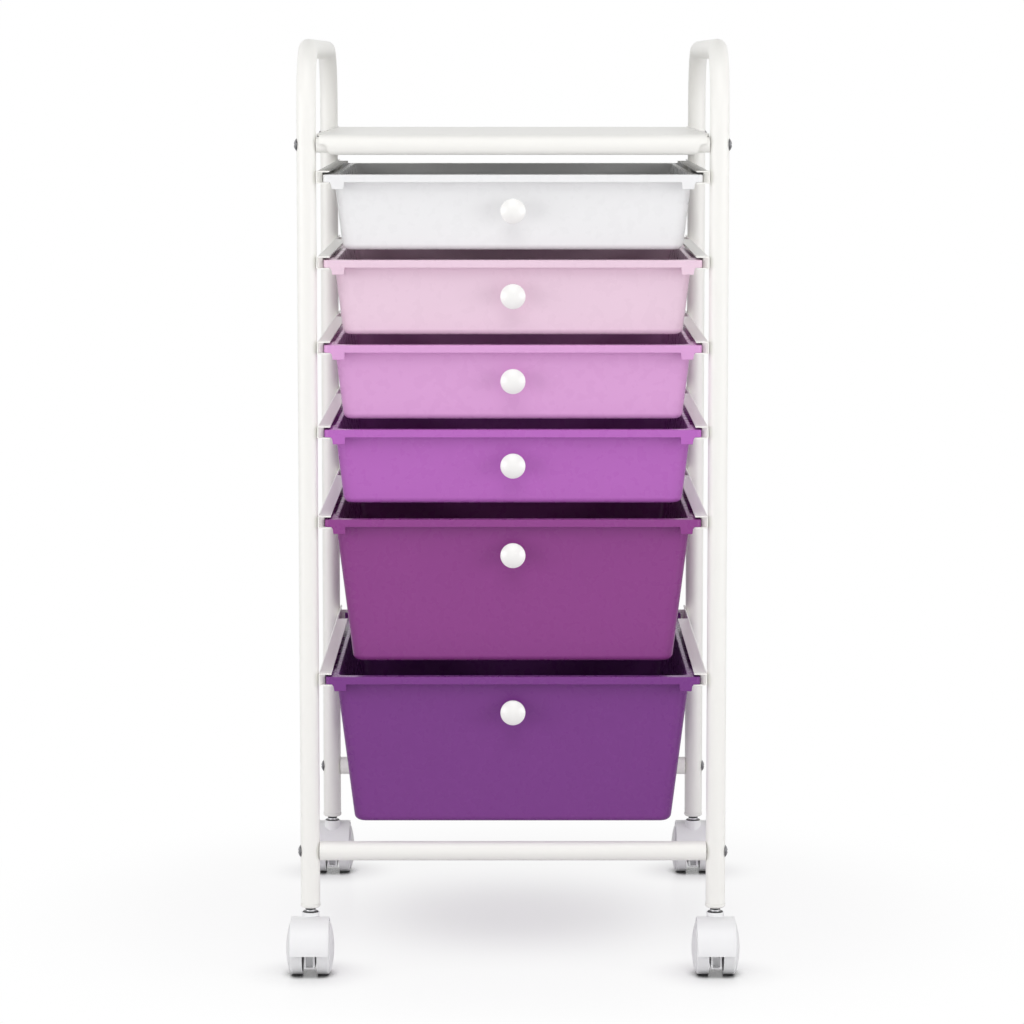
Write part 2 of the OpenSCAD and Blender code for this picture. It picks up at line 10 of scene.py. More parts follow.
import bmesh
import bpy
import numpy as np
from bpy.props import FloatProperty, FloatVectorProperty, PointerProperty
from bpy.types import Operator, Panel, PropertyGroup
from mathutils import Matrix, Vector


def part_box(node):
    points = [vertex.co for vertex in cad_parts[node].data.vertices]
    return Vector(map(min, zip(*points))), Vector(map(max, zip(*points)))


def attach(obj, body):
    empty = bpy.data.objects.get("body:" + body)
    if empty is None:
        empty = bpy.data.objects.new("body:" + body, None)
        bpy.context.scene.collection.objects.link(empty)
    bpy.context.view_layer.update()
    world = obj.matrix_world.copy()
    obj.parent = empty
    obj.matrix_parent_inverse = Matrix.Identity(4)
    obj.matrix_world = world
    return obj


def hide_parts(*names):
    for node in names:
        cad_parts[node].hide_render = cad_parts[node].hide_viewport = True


bl_info = {
    "name": "Rolling Drawer Tower",
    "version": (1, 0, 0),
    "blender": (4, 5, 0),
    "location": "3D View > Sidebar > Tower",
    "description": "Builds the finished surfaces of a rolling drawer tower around its frame",
    "category": "Object",
}

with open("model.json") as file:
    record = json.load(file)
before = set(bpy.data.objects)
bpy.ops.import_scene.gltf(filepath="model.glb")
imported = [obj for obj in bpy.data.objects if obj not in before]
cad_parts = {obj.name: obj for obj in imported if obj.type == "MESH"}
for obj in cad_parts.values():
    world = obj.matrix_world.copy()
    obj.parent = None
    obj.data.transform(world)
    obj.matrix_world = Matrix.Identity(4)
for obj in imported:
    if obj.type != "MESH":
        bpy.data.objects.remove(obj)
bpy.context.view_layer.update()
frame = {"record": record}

MM = 0.001
WELD = 0.001  # millimetres within which points are merged
SHARP = 35  # degrees between two faces that show an edge
WHITE = (1, 1, 1, 1)
OPEN, RING = (False, False), (True, True)
LEVELS = 6
SIDES = {"left": -1, "right": 1}
LEGS = ("front_left", "front_right", "back_left", "back_right")
BODY_OF = {
    node: body
    for body, nodes in frame["record"]["behaviour"]["bodies"].items()
    for node in nodes
}


def span(node):
    """A CAD node's lowest and highest corner, in millimetres."""
    low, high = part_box(node)
    return np.array(low) / MM, np.array(high) / MM


def middle_of(node):
    """The middle of a CAD node's box, in millimetres."""
    low, high = span(node)
    return (low + high) / 2


# What the frame says: posts, tray, bars and casters
_low, _high = span("right_side_frame")
TUBE_R = (_high[0] - _low[0]) / 2
POST_X = (_high[0] + _low[0]) / 2
FRONT_Y, BACK_Y = _low[1] + TUBE_R, _high[1] - TUBE_R
TUBE_Z, HANDLE_Z = _low[2], _high[2] - TUBE_R
INNER_X = POST_X - TUBE_R
_low, _high = span("top_tray")
ROLL_R = FRONT_Y - _low[1]
ROLL_Z = _low[2] + ROLL_R
TRAY_X, TRAY_Z, BEAD_Z = _high[0], ROLL_Z + ROLL_R, _high[2]
_low, _high = span("front_bottom_bar")
BAR_Z = (_low[2] + _high[2]) / 2
LEG_Z = span("leg_end_plugs")[0][2]
JOINTS = [(FRONT_Y, ROLL_Z), (BACK_Y, ROLL_Z), (FRONT_Y, BAR_Z), (BACK_Y, BAR_Z)]
POSTS = [(side, y) for side in SIDES.values() for y in (FRONT_Y, BACK_Y)]


# ---------------------------------------------------------------- sizes and colours


def size(name, description, default, low, high):
    """A length in millimetres."""
    return FloatProperty(name=name, description=description, default=default, min=low, max=high)


def tint(name, description, default):
    """A colour, given as the sRGB bytes that it shows."""
    return FloatVectorProperty(
        name=name, description=description, default=[linear(byte) for byte in default],
        min=0, max=1, size=3, subtype="COLOR",
    )


def linear(byte):
    """The linear light of one sRGB byte."""
    share = byte / 255
    return share / 12.92 if share <= 0.04045 else ((share + 0.055) / 1.055) ** 2.4


class TowerFrameSizes(PropertyGroup):
    """Small sizes of the frame, the tray and the runners."""

    bend_r: size("Handle bend", "Radius of the handle's bends at the tube's centre line", 45, 25, 80)
    tube_wall: size("Tube wall", "Wall of the frame tube", 1, 0.8, 1.5)
    tube_edge: size("Tube edge", "Rounding of the tube's cut ends", 0.3, 0.1, 0.5)
    tray_sheet: size("Tray sheet", "Thickness of the tray's sheet", 0.8, 0.6, 1.4)
    hem_h: size("Hem", "Depth of the hems along the tray's sides", 11, 6, 14)
    roll_gap: size("Roll gap", "Gap between the ends of the rolls and the posts", 2.3, 0.5, 4)
    roll_cut: size("Roll cut", "Length of the cut-back under each end of the rolls", 6.5, 4, 12)
    roll_cut_r: size("Cut radius", "Radius of the two arcs of the cut-back", 4.3, 2, 6)
    rail_sheet: size("Runner sheet", "Thickness of the runners' sheet", 1, 0.8, 1.4)
    rail_bend: size("Runner bend", "Outer radius of the runners' bends", 1.4, 1, 2.5)
    end_setback: size("Runner end", "Set-back of the runners' turned-in front ends", 3.3, 1.8, 3.6)
    lip_end: size("Lip end", "How far the runners' upper lip ends short of their back end", 87, 0, 150)
    end_slant: size("Runner slant", "Slant of those ends, rim side behind", 1.5, 0, 1.7)
    side_play: size("Side play", "Gap between a rim and the runner's turned-in end", 0.4, 0.2, 1.2)
    head_d: size("Screw head", "Diameter of the frame screws' heads", 9.6, 7, 11)
    neck_step: size("Insert step", "How much thinner an insert's neck is, in radius", 0.8, 0.3, 1.5)
    rivet_d: size("Rivet head", "Diameter of the rivets' heads", 5.6, 4.8, 6)
    lip_h: size("Plug lip", "Height of the leg plugs' flared lip", 3, 2, 6)


class TowerDrawerSizes(PropertyGroup):
    """Small sizes of the drawers and knobs."""

    wall: size("Wall", "Wall of the drawers", 2.1, 1.5, 3)
    rim_h: size("Rim height", "Height of the rim's face", 5.8, 4.5, 8)
    rim_t: size("Rim thickness", "Thickness of the rim", 1.8, 1.2, 2.4)
    overhang: size("Overhang", "Overhang of the rim over the walls", 7.4, 5, 9)
    side_draft: size("Side draft", "Draft of the side walls in degrees", 7, 2, 8)
    front_draft: size("Front draft", "Draft of the front and back walls in degrees", 4, 1, 6)
    corner_r: size("Corner", "Radius of the walls' upright corners", 9, 5, 14)
    rim_corner_r: size("Rim corner", "Radius of the rim's corners", 4, 2.5, 7)
    floor_r: size("Floor edge", "Radius of the floor's edge", 4.5, 3, 7)
    rim_edge: size("Rim edge", "Rounding of the rim's top edge", 0.7, 0.2, 1)
    tab_x: size("Tab place", "Distance from the centre to the tabs' inner end", 128.6, 100, 140)
    tab_w: size("Tab width", "Width of the tabs under the rim's front corners", 9.9, 6, 16)
    tab_h: size("Tab drop", "Drop of the tabs below the rim", 5.3, 3, 9)
    tab_slant: size("Tab slant", "Slant of the tabs' sides", 0.6, 0.1, 2)
    tab_flare: size("Tab flare", "Widening of the tabs' outer side towards the rim", 1.1, 0.2, 2)
    corner_l: size("Rim corners", "Length of the full-height rim behind the front", 42, 20, 80)
    bead_t: size("Bead", "Thickness of the bead along the side walls' tops", 0.5, 0.2, 1.5)
    knob_foot_d: size("Knob foot", "Diameter of the knobs' foot", 9, 7, 12)
    knob_edge: size("Knob edge", "Height of the knobs' straight edge", 3, 1, 5)
    knob_dome: size("Knob dome", "Rise of the knobs' face", 4.2, 2, 6)


class TowerCasterSizes(PropertyGroup):
    """Small sizes of the casters."""

    hood_t: size("Hood wall", "Thickness of the hood", 1.8, 1.2, 3)
    hood_edge: size("Hood edge", "Rounding of the hood's outer edges", 0.7, 0.2, 0.85)
    web_t: size("Web", "Thickness of the web between the wheels", 8.8, 6, 9)
    pocket_w: size("Pocket width", "Width of the pockets in the web's two ends", 5.4, 3, 6)
    pocket_l: size("Pocket depth", "Depth of those pockets", 6, 3, 7)
    web_short: size("Web ends", "How much shorter the web's foot is than the wheels", 5.5, 4, 9)
    web_foot: size("Web foot", "Height of the web's foot above the floor", 6.4, 4, 9)
    web_corner_r: size("Web corner", "Radius of the web's lower corners", 2.5, 1, 6)
    collar_rise: size("Collar rise", "Rise of the collar above the hood's crown", 2.4, 1, 6)
    collar_d: size("Collar", "Diameter of the collar on the hood", 13.5, 12.5, 16)
    flange_d: size("Flange", "Diameter of the stem's flange", 11.8, 10, 14)
    neck_d: size("Neck", "Diameter of the stem's neck", 8, 7, 10)
    bulge: size("Bulge", "Bulge of the wheels' outer discs", 3.4, 2, 5)
    tread_edge: size("Tread edge", "Rounding of the wheels' outer edge", 2.2, 0.5, 3)


class TowerColours(PropertyGroup):
    """Colours of the finishes, as they show in plain light."""

    paint: tint("Frame paint", "Powder coat of the frame, the tray and the runners", (247, 246, 242))
    plug: tint("Leg plugs", "Plastic of the leg plugs", (244, 243, 239))
    drawer_1: tint("Drawer 1", "Plastic of the top drawer", (241, 241, 242))
    drawer_2: tint("Drawer 2", "Plastic of the second drawer", (237, 208, 226))
    drawer_3: tint("Drawer 3", "Plastic of the third drawer", (223, 165, 218))
    drawer_4: tint("Drawer 4", "Plastic of the fourth drawer", (186, 107, 193))
    drawer_5: tint("Drawer 5", "Plastic of the upper deep drawer", (145, 69, 141))
    drawer_6: tint("Drawer 6", "Plastic of the lowest drawer", (125, 63, 139))
    knob: tint("Knobs", "Plastic of the knobs", (248, 247, 245))
    hood: tint("Hoods", "Plastic of the caster hoods", (246, 246, 247))
    wheel: tint("Wheels", "Plastic of the caster wheels", (236, 236, 237))
    zinc: tint("Zinc", "Plating of the screws, rivets and axles", (150, 150, 153))
    neck: tint("Necks", "Bright plating round the middle of the stems' necks", (222, 222, 224))


SLOT_OF_DRAWER = ("drawer_white", "drawer_blush", "drawer_orchid", "drawer_violet", "drawer_plum",
                  "drawer_purple")


# ---------------------------------------------------------------- surfaces as arrays


def shell_of(grid, wrap=(False, True), caps=RING):
    """A surface: a grid of points, whether its rows and its columns close on themselves, and
    whether its first and its last row are filled."""
    return {"grid": grid, "wrap": wrap, "caps": caps}


def ring_of(shell):
    """A turned surface whose profile closes on itself."""
    return shell_of(shell["grid"], RING, OPEN)


def outward(side):
    """The X direction that points away from the middle on a side."""
    return "x" if side > 0 else "-x"


def rounded(corners, radii, steps=6, closed=False):
    """A polyline through the corners, each rounded by its radius. An arc touches both legs at
    radius / tan(half the angle between them) from the corner, and its points are centre + radius *
    (cos a, sin a), with a in even steps between the two touching directions."""
    corners = np.asarray(corners, float)
    count = len(corners)
    points = []
    for i, radius in enumerate(radii):
        here = corners[i]
        if radius <= 0 or (not closed and i in (0, count - 1)):
            points.append(here[None])
            continue
        back, ahead = corners[i - 1] - here, corners[(i + 1) % count] - here
        back, ahead = back / np.hypot(*back), ahead / np.hypot(*ahead)
        half = math.acos(np.clip(back @ ahead, -1, 1)) / 2
        middle = (back + ahead) / np.hypot(*(back + ahead))
        centre = here + middle * radius / math.sin(half)
        first = here + back * radius / math.tan(half) - centre
        last = here + ahead * radius / math.tan(half) - centre
        start = math.atan2(first[1], first[0])
        turn = (math.atan2(last[1], last[0]) - start + math.pi) % (2 * math.pi) - math.pi
        angle = start + turn * np.linspace(0, 1, steps + 1)
        points.append(centre + radius * np.stack([np.cos(angle), np.sin(angle)], 1))
    return np.concatenate(points)


def lathe(profile, centre, axis="z", around=64):
    """A profile of (radius, rise) points turned round an axis through centre: each point goes to
    centre + radius * (cos a, sin a) in the cross plane + rise along the axis."""
    profile = np.asarray(profile, float)
    angle = np.linspace(0, 2 * np.pi, around, endpoint=False)
    radius, rise = profile[:, :1], profile[:, 1:]
    first, second = radius * np.cos(angle), radius * np.sin(angle)
    rise = rise + 0 * angle
    order = {"z": (first, second, rise), "x": (rise, first, second), "-x": (-rise, first, second),
             "-y": (first, -rise, second)}[axis]
    return shell_of(np.stack(order, -1) + np.asarray(centre, float))


def plate(outline, low, high, edge, axis, steps=4):
    """A solid plate between low and high along an axis. Its rings are the closed outline moved
    inwards by edge * (1 - sin a) while the level goes up by edge * (1 - cos a), so both rims are
    quarter rounds."""
    outline = np.asarray(outline, float)
    tangent = np.roll(outline, -1, 0) - np.roll(outline, 1, 0)
    normal = np.stack([tangent[:, 1], -tangent[:, 0]], 1)
    normal /= np.hypot(normal[:, 0], normal[:, 1])[:, None]
    x, y = outline[:, 0], outline[:, 1]
    if np.sum(x * np.roll(y, -1) - np.roll(x, -1) * y) < 0:
        normal = -normal
    angle = np.linspace(0, np.pi / 2, steps + 1)
    inset = np.concatenate([edge * (1 - np.sin(angle)), edge * (1 - np.sin(angle[::-1]))])
    level = np.concatenate([low + edge * (1 - np.cos(angle)), high - edge * (1 - np.cos(angle[::-1]))])
    rings = outline[None] - normal[None] * inset[:, None, None]
    rows = level[:, None] + 0 * rings[:, :, 0]
    order = {"x": (rows, rings[..., 0], rings[..., 1]), "z": (rings[..., 0], rings[..., 1], rows)}
    return shell_of(np.stack(order[axis], -1))


def block(low, high, edge):
    """A box between two corners, with its upright edges and both rims rounded."""
    (x0, y0, z0), (x1, y1, z1) = low, high
    outline = rounded([(x0, y0), (x1, y0), (x1, y1), (x0, y1)], [edge] * 4, 3, closed=True)
    return plate(outline, z0, z1, 0.9 * edge, "z", 3)


def tube_walls(path, across, outer, inner, edge, around=48):
    """A tube with a wall along a plane path. Each ring is path + r * (cos a * normal + sin a *
    across), where normal is across x tangent. The rings run out along the outer radius, round the
    cut end and back along the inner radius, so the surface closes on itself."""
    path, across = np.asarray(path, float), np.asarray(across, float)
    tangent = np.gradient(path, axis=0)
    tangent /= np.linalg.norm(tangent, axis=1)[:, None]
    normal = np.cross(across, tangent)
    first, last = path[0] + tangent[0] * edge, path[-1] - tangent[-1] * edge
    middle = path[1:-1]
    route = np.concatenate([[first], middle, [last], [path[-1]], [path[-1]], [last], middle[::-1],
                            [first], [path[0]], [path[0]]])
    turn = np.concatenate([normal[:1], normal[1:-1], normal[-1:], normal[-1:], normal[-1:],
                           normal[-1:], normal[1:-1][::-1], normal[:1], normal[:1], normal[:1]])
    half = len(middle) + 2
    radius = np.concatenate([np.full(half, outer), [outer - edge, inner + edge],
                             np.full(half, inner), [inner + edge, outer - edge]])
    angle = np.linspace(0, 2 * np.pi, around, endpoint=False)[None, :, None]
    ring = np.cos(angle) * turn[:, None] + np.sin(angle) * across
    return shell_of(route[:, None] + radius[:, None, None] * ring, RING, OPEN)


def mirrored(shells, side):
    """The shells as they are for side 1, or mirrored in X for side -1."""
    if side > 0:
        return shells
    return [{**shell, "grid": shell["grid"] * np.array([-1, 1, 1])} for shell in shells]


def grid_faces(rows, columns, wrap_rows, wrap_columns):
    """Quads between neighbouring points of a grid, as rows of four indices."""
    index = np.arange(rows * columns).reshape(rows, columns)
    if wrap_rows:
        index = np.concatenate([index, index[:1]])
    if wrap_columns:
        index = np.concatenate([index, index[:, :1]], 1)
    return np.stack([index[:-1, :-1], index[:-1, 1:], index[1:, 1:], index[1:, :-1]], -1).reshape(-1, 4)


def mesh_of(name, shells):
    """One mesh of several grid surfaces. Points that meet are merged, and faces turned outwards."""
    points, faces, start = [], [], 0
    for shell in shells:
        grid = shell["grid"]
        rows, columns = grid.shape[:2]
        points.append(grid.reshape(-1, 3))
        faces += (grid_faces(rows, columns, *shell["wrap"]) + start).tolist()
        first_cap, last_cap = shell["caps"]
        if first_cap:
            faces.append(list(range(start, start + columns)))
        if last_cap:
            faces.append(list(range(start + (rows - 1) * columns, start + rows * columns)))
        start += rows * columns
    mesh = bpy.data.meshes.new(name)
    mesh.from_pydata((np.concatenate(points) * MM).tolist(), [], faces)
    work = bmesh.new()
    work.from_mesh(mesh)
    bmesh.ops.remove_doubles(work, verts=work.verts, dist=WELD * MM)
    bmesh.ops.dissolve_degenerate(work, edges=work.edges, dist=WELD * MM / 10)
    bmesh.ops.recalc_face_normals(work, faces=work.faces)
    work.to_mesh(mesh)
    work.free()
    return mesh


def placed(name, data):
    """A new object in the scene, at the origin."""
    thing = bpy.data.objects.new(name, data)
    bpy.context.scene.collection.objects.link(thing)
    return thing


def smooth(mesh, sharp=SHARP):
    """Smooth shading, with an edge where two faces meet at more than an angle in degrees."""
    mesh.shade_smooth()
    mesh.set_sharp_from_angle(angle=math.radians(sharp))


def baked(thing):
    """Swaps an object's mesh for the one that its modifiers make, and drops the modifiers."""
    graph = bpy.context.evaluated_depsgraph_get()
    mesh = bpy.data.meshes.new_from_object(thing.evaluated_get(graph))
    thing.modifiers.clear()
    thing.data = mesh


def combined(thing, operation, shells):
    """Joins closed shells to an object, or cuts them from it, with exact booleans."""
    for shell in shells:
        tool = placed("tool", mesh_of("tool", [shell]))
        change = thing.modifiers.new("Change", "BOOLEAN")
        change.operation, change.object, change.solver = operation, tool, "EXACT"
        baked(thing)
        bpy.data.objects.remove(tool)


def piece(name, shells, node, slot, finish, changes=(), sheet=0, edge=0, sharp=SHARP):
    """A finished piece that rides on its CAD node's body and stands for that node. A sheet grid
    gets its thickness inwards, then come the changes, (operation, shells) pairs, and last a small
    round on the sharp edges."""
    thing = placed(name, mesh_of(name, shells))
    if sheet:
        solid = thing.modifiers.new("Sheet", "SOLIDIFY")
        solid.thickness, solid.offset, solid.use_even_offset = sheet * MM, -1, True
        baked(thing)
    for operation, others in changes:
        combined(thing, operation, others)
    if edge:
        bevel = thing.modifiers.new("Edges", "BEVEL")
        bevel.width, bevel.segments, bevel.limit_method = edge * MM, 2, "ANGLE"
        bevel.angle_limit = math.radians(50)
        baked(thing)
    smooth(thing.data, sharp)
    weighted = thing.modifiers.new("Normals", "WEIGHTED_NORMAL")
    weighted.keep_sharp = True
    thing.data.materials.clear()
    thing.data.materials.append(finish)
    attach(thing, BODY_OF[node])
    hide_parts(node)
    return thing


# ---------------------------------------------------------------- materials


class Signal:
    """A shader value: arithmetic on it adds Math nodes."""

    def __init__(self, recipe, socket):
        self.recipe, self.socket = recipe, socket

    def maths(self, operation, first, second):
        return self.recipe.add("ShaderNodeMath", {"operation": operation}, {0: first, 1: second})

    def __add__(self, other):
        return self.maths("ADD", self, other)

    def __mul__(self, other):
        return self.maths("MULTIPLY", self, other)

    __radd__, __rmul__ = __add__, __mul__


class Recipe:
    """The nodes that a material or a world is made of."""

    def __init__(self, owner):
        owner.use_nodes = True
        self.owner, self.tree = owner, owner.node_tree
        self.tree.nodes.clear()

    def add(self, kind, settings=None, sockets=None, output=0):
        """A node of a type, with its settings set first and then its sockets' values or links."""
        node = self.tree.nodes.new(kind)
        for name, value in (settings or {}).items():
            setattr(node, name, value)
        for name, value in (sockets or {}).items():
            if isinstance(value, Signal):
                self.tree.links.new(value.socket, node.inputs[name])
            else:
                node.inputs[name].default_value = value
        return Signal(self, node.outputs[output]) if len(node.outputs) else None

    def place(self):
        """The point on the piece, in metres."""
        return self.add("ShaderNodeTexCoord", output="Object")

    def climb(self, value, start, end, low=0, high=1):
        """A smooth climb from low to high while a value goes from start to end."""
        return self.add("ShaderNodeMapRange", {"interpolation_type": "SMOOTHERSTEP"},
                        {"Value": value, "From Min": start, "From Max": end, "To Min": low,
                         "To Max": high})

    def noise(self, scale, detail=2, roughness=0.5, vector=None):
        """Even noise from 0 to 1, with that many cells a metre."""
        return self.add(
            "ShaderNodeTexNoise", None,
            {"Vector": vector or self.place(), "Scale": scale, "Detail": detail,
             "Roughness": roughness},
        )

    def blend(self, share, first, second):
        """A mix of two colours."""
        return self.add("ShaderNodeMix", {"data_type": "RGBA"}, {0: share, 6: first, 7: second}, 2)

    def bump(self, height, distance, strength=1):
        """A surface normal from a height, over a distance in millimetres."""
        return self.add("ShaderNodeBump", None,
                        {"Height": height, "Distance": distance * MM, "Strength": strength})

    def finish(self, **sockets):
        """The main shader with its sockets, named with spaces as underscores."""
        shader = self.add("ShaderNodeBsdfPrincipled", None,
                          {name.replace("_", " "): value for name, value in sockets.items()})
        self.add("ShaderNodeOutputMaterial", None, {"Surface": shader})
        return self.owner


def shaded(colour, factor=1):
    """A colour made darker or lighter by a factor, with its alpha."""
    return (*(min(1, channel * factor) for channel in colour[:3]), 1)


def cached(make):
    """Makes each finish once and keeps it."""
    kept = {}

    def finish(*words):
        if words not in kept:
            kept[words] = make(*words)
        return kept[words]

    return finish


@cached
def powder_coat(name):
    """White powder coat: satin, with the fine dimples of cured powder and a faint uneven tone."""
    colour = bpy.context.scene.tower_colours.paint
    recipe = Recipe(bpy.data.materials.new(name))
    dimples = recipe.noise(900, 3, 0.55)
    drift = recipe.noise(14, 2)
    return recipe.finish(
        Base_Color=recipe.blend(drift, shaded(colour, 0.985), shaded(colour)),
        Roughness=0.3 + 0.1 * recipe.noise(60, 2),
        Normal=recipe.bump(dimples, 0.05, 0.35),
        Specular_IOR_Level=0.4,
    )


@cached
def moulded(name, colour_name, roughness, gloss=0.4):
    """Injection moulded plastic: a spark-eroded fine grain, and a faint flow of tone."""
    colour = getattr(bpy.context.scene.tower_colours, colour_name)
    recipe = Recipe(bpy.data.materials.new(name))
    grain = recipe.noise(1500, 4, 0.6)
    stretch = recipe.add("ShaderNodeMapping", None, {"Vector": recipe.place(), "Scale": (1, 1, 3)})
    flow = recipe.noise(9, 3, 0.5, stretch)
    return recipe.finish(
        Base_Color=recipe.blend(flow, shaded(colour, 0.97), shaded(colour, 1.01)),
        Roughness=(roughness - 0.05) + 0.1 * recipe.noise(120, 2),
        Normal=recipe.bump(grain, 0.03, 0.3),
        Specular_IOR_Level=gloss,
    )


@cached
def glossy_plastic(name, colour_name):
    """Polished moulding, with faint waves in its gloss."""
    colour = getattr(bpy.context.scene.tower_colours, colour_name)
    recipe = Recipe(bpy.data.materials.new(name))
    waves = recipe.noise(160, 2)
    return recipe.finish(
        Base_Color=recipe.blend(recipe.noise(30, 2), shaded(colour, 0.985), shaded(colour)),
        Roughness=0.22 + 0.08 * recipe.noise(240, 2),
        Normal=recipe.bump(waves, 0.02, 0.3),
        Coat_Weight=0.3,
        Coat_Roughness=0.15,
    )


@cached
def zinc_plate(name):
    """Zinc plated steel: grey, fine turned lines and a faint mottle."""
    colour = bpy.context.scene.tower_colours.zinc
    recipe = Recipe(bpy.data.materials.new(name))
    mottle = recipe.noise(400, 4, 0.6)
    return recipe.finish(
        Base_Color=recipe.blend(mottle, shaded(colour, 0.75), shaded(colour)),
        Metallic=0.9,
        Roughness=0.25 + 0.2 * mottle,
        Normal=recipe.bump(recipe.noise(2500, 2), 0.01, 0.4),
    )


@cached
def stem_plate_painted_shade(name, low, high):
    """Steel with a bright plated band between two heights in millimetres, and painted shade above and
    below it: near black for the leg plug's shadow on the upper neck and for the recess round the flange.
    """
    colour = bpy.context.scene.tower_colours.neck
    recipe = Recipe(bpy.data.materials.new(name))
    height = recipe.add("ShaderNodeSeparateXYZ", None, {0: recipe.place()}, 2)
    soft = 0.15
    # Painted shade: outside the band the colour falls to 4 per cent of the plating's, for the plug's
    # shadow above and the flange's recess below
    band = recipe.climb(height, (low - soft) * MM, low * MM) * recipe.climb(
        height, high * MM, (high + soft) * MM, 1, 0)
    mottle = recipe.noise(400, 4, 0.6)
    return recipe.finish(
        Base_Color=recipe.blend(band, shaded(colour, 0.04), shaded(colour)),
        Metallic=0.6 * band,
        Roughness=0.2 + 0.15 * mottle,
        Normal=recipe.bump(recipe.noise(2500, 2), 0.01, 0.4),
        Specular_IOR_Level=0.3,
    )


# ---------------------------------------------------------------- the pieces


class TowerOperator(Operator):
    """Shared settings of the tower's operators."""

    bl_options = {"REGISTER", "UNDO"}

    def execute(self, context):
        self.make(context.scene.tower_frame, context.scene.tower_drawer, context.scene.tower_caster)
        return {"FINISHED"}


class TOWER_OT_side_frames(TowerOperator):
    """Two bent tubes, each an upside-down U whose top is a handle"""

    bl_idname = "tower.side_frames"
    bl_label = "Side Frames"

    def make(self, sizes, _drawers, _casters):
        bend_z = HANDLE_Z - sizes.bend_r
        turn = np.linspace(0, np.pi / 2, 25)
        front = np.stack([FRONT_Y + sizes.bend_r * (1 - np.cos(turn)),
                          bend_z + sizes.bend_r * np.sin(turn)], 1)
        back = np.stack([BACK_Y - sizes.bend_r * (1 - np.cos(turn[::-1])), front[::-1, 1]], 1)
        legs = np.linspace(TUBE_Z, bend_z, 30)[:-1]
        top = np.linspace(front[-1, 0], back[0, 0], 14)[1:-1]
        line = np.concatenate([
            np.stack([0 * legs + FRONT_Y, legs], 1), front, np.stack([top, 0 * top + HANDLE_Z], 1),
            back, np.stack([0 * legs + BACK_Y, legs[::-1]], 1),
        ])
        for word, side in SIDES.items():
            path = np.column_stack([np.full(len(line), side * POST_X), line])
            shell = tube_walls(path, (1, 0, 0), TUBE_R, TUBE_R - sizes.tube_wall, sizes.tube_edge)
            piece(f"{word}_side_frame_tube", [shell], f"{word}_side_frame", "frame_paint",
                  powder_coat("frame_powder_coat"))


class TOWER_OT_leg_plugs(TowerOperator):
    """Four flared plugs that close the legs and hold the casters' stems"""

    bl_idname = "tower.leg_plugs"
    bl_label = "Leg Plugs"

    def make(self, sizes, _drawers, casters):
        lip_r, foot_r, held_r = TUBE_R + 0.35, TUBE_R - 0.8, TUBE_R - 1.1
        bore_r = casters.neck_d / 2 - 0.1
        flare_h, grip = 1.2, 12
        lip_z, top = LEG_Z + sizes.lip_h, TUBE_Z + grip
        profile = rounded(
            [(bore_r, top), (bore_r, LEG_Z), (foot_r, LEG_Z), (lip_r, LEG_Z + flare_h),
             (lip_r, lip_z), (held_r, lip_z), (held_r, top)],
            [0, 0.3, 0.4, 0.6, 0.3, 0, 0], 4, closed=True)
        shells = [ring_of(lathe(profile, (side * POST_X, y, 0))) for side, y in POSTS]
        piece("leg_end_plugs_moulded", shells, "leg_end_plugs", "plug_plastic",
              moulded("leg_plug_plastic", "plug", 0.4))


class TOWER_OT_tray(TowerOperator):
    """The tray: one sheet with rolled front and back edges and hems folded down its sides"""

    bl_idname = "tower.tray"
    bl_label = "Top Tray"

    def make(self, sizes, _drawers, _casters):
        # Round a roll from its top, over the front, until it meets the sheet's underside
        angle = np.linspace(0.5 * np.pi, 2.33 * np.pi, 121)
        reach, rise = ROLL_R * np.cos(angle), ROLL_R * np.sin(angle)
        end = INNER_X - sizes.roll_gap - self.cut(rise + ROLL_R, sizes.roll_cut, sizes.roll_cut_r)
        flat_y = np.linspace(FRONT_Y + 0.1, BACK_Y - 0.1, 24)
        y = np.concatenate([(FRONT_Y + reach)[::-1], flat_y, BACK_Y - reach])
        z = np.concatenate([(ROLL_Z + rise)[::-1], 0 * flat_y + TRAY_Z, ROLL_Z + rise])
        half = np.concatenate([end[::-1], 0 * flat_y + TRAY_X - sizes.tray_sheet / 2, end])
        share = np.linspace(-1, 1, 33)[:, None]
        across = shell_of(np.stack([share * half, y + 0 * share, z + 0 * share], -1), OPEN, OPEN)
        hem = self.hem(sizes)
        piece("top_tray_sheet", [across], "top_tray", "tray_paint", powder_coat("tray_powder_coat"),
              [("UNION", [hem, *mirrored([hem], -1)])], sheet=sizes.tray_sheet, edge=0.2, sharp=40)

    @staticmethod
    def hem(sizes):
        """The right side's fold: a plate from the bead's top down to the hem's foot. Its two ends
        follow the bores of the rolls, an arc from straight above the axis to the foot's height."""
        bore = ROLL_R - sizes.tray_sheet
        foot = TRAY_Z - sizes.hem_h - ROLL_Z
        turn = np.linspace(np.pi / 2, np.pi - math.asin(foot / bore), 24)
        arc = bore * np.stack([np.cos(turn), np.sin(turn)], 1)
        back, front = arc + (BACK_Y, ROLL_Z), arc[::-1] * (-1, 1) + (FRONT_Y, ROLL_Z)
        outline = np.concatenate([[(BACK_Y, BEAD_Z)], back, front, [(FRONT_Y, BEAD_Z)]])
        return plate(outline, TRAY_X - sizes.tray_sheet, TRAY_X, 0.25, "x", 3)

    @staticmethod
    def cut(height, length, radius):
        """How far the roll is cut back at a height above its bottom: a round foot that runs out at
        length + radius, a straight, and a round shoulder that ends in a step."""
        step = ROLL_R + 0.7
        foot = length + radius - np.sqrt(np.clip(radius**2 - (height - radius) ** 2, 0, None))
        lift = height - (step - radius)
        shoulder = length - radius + np.sqrt(np.clip(radius**2 - lift**2, 0, None))
        edge = np.where(height < radius, foot, np.where(lift > 0, shoulder, length))
        return np.where(height < step, edge, 0)


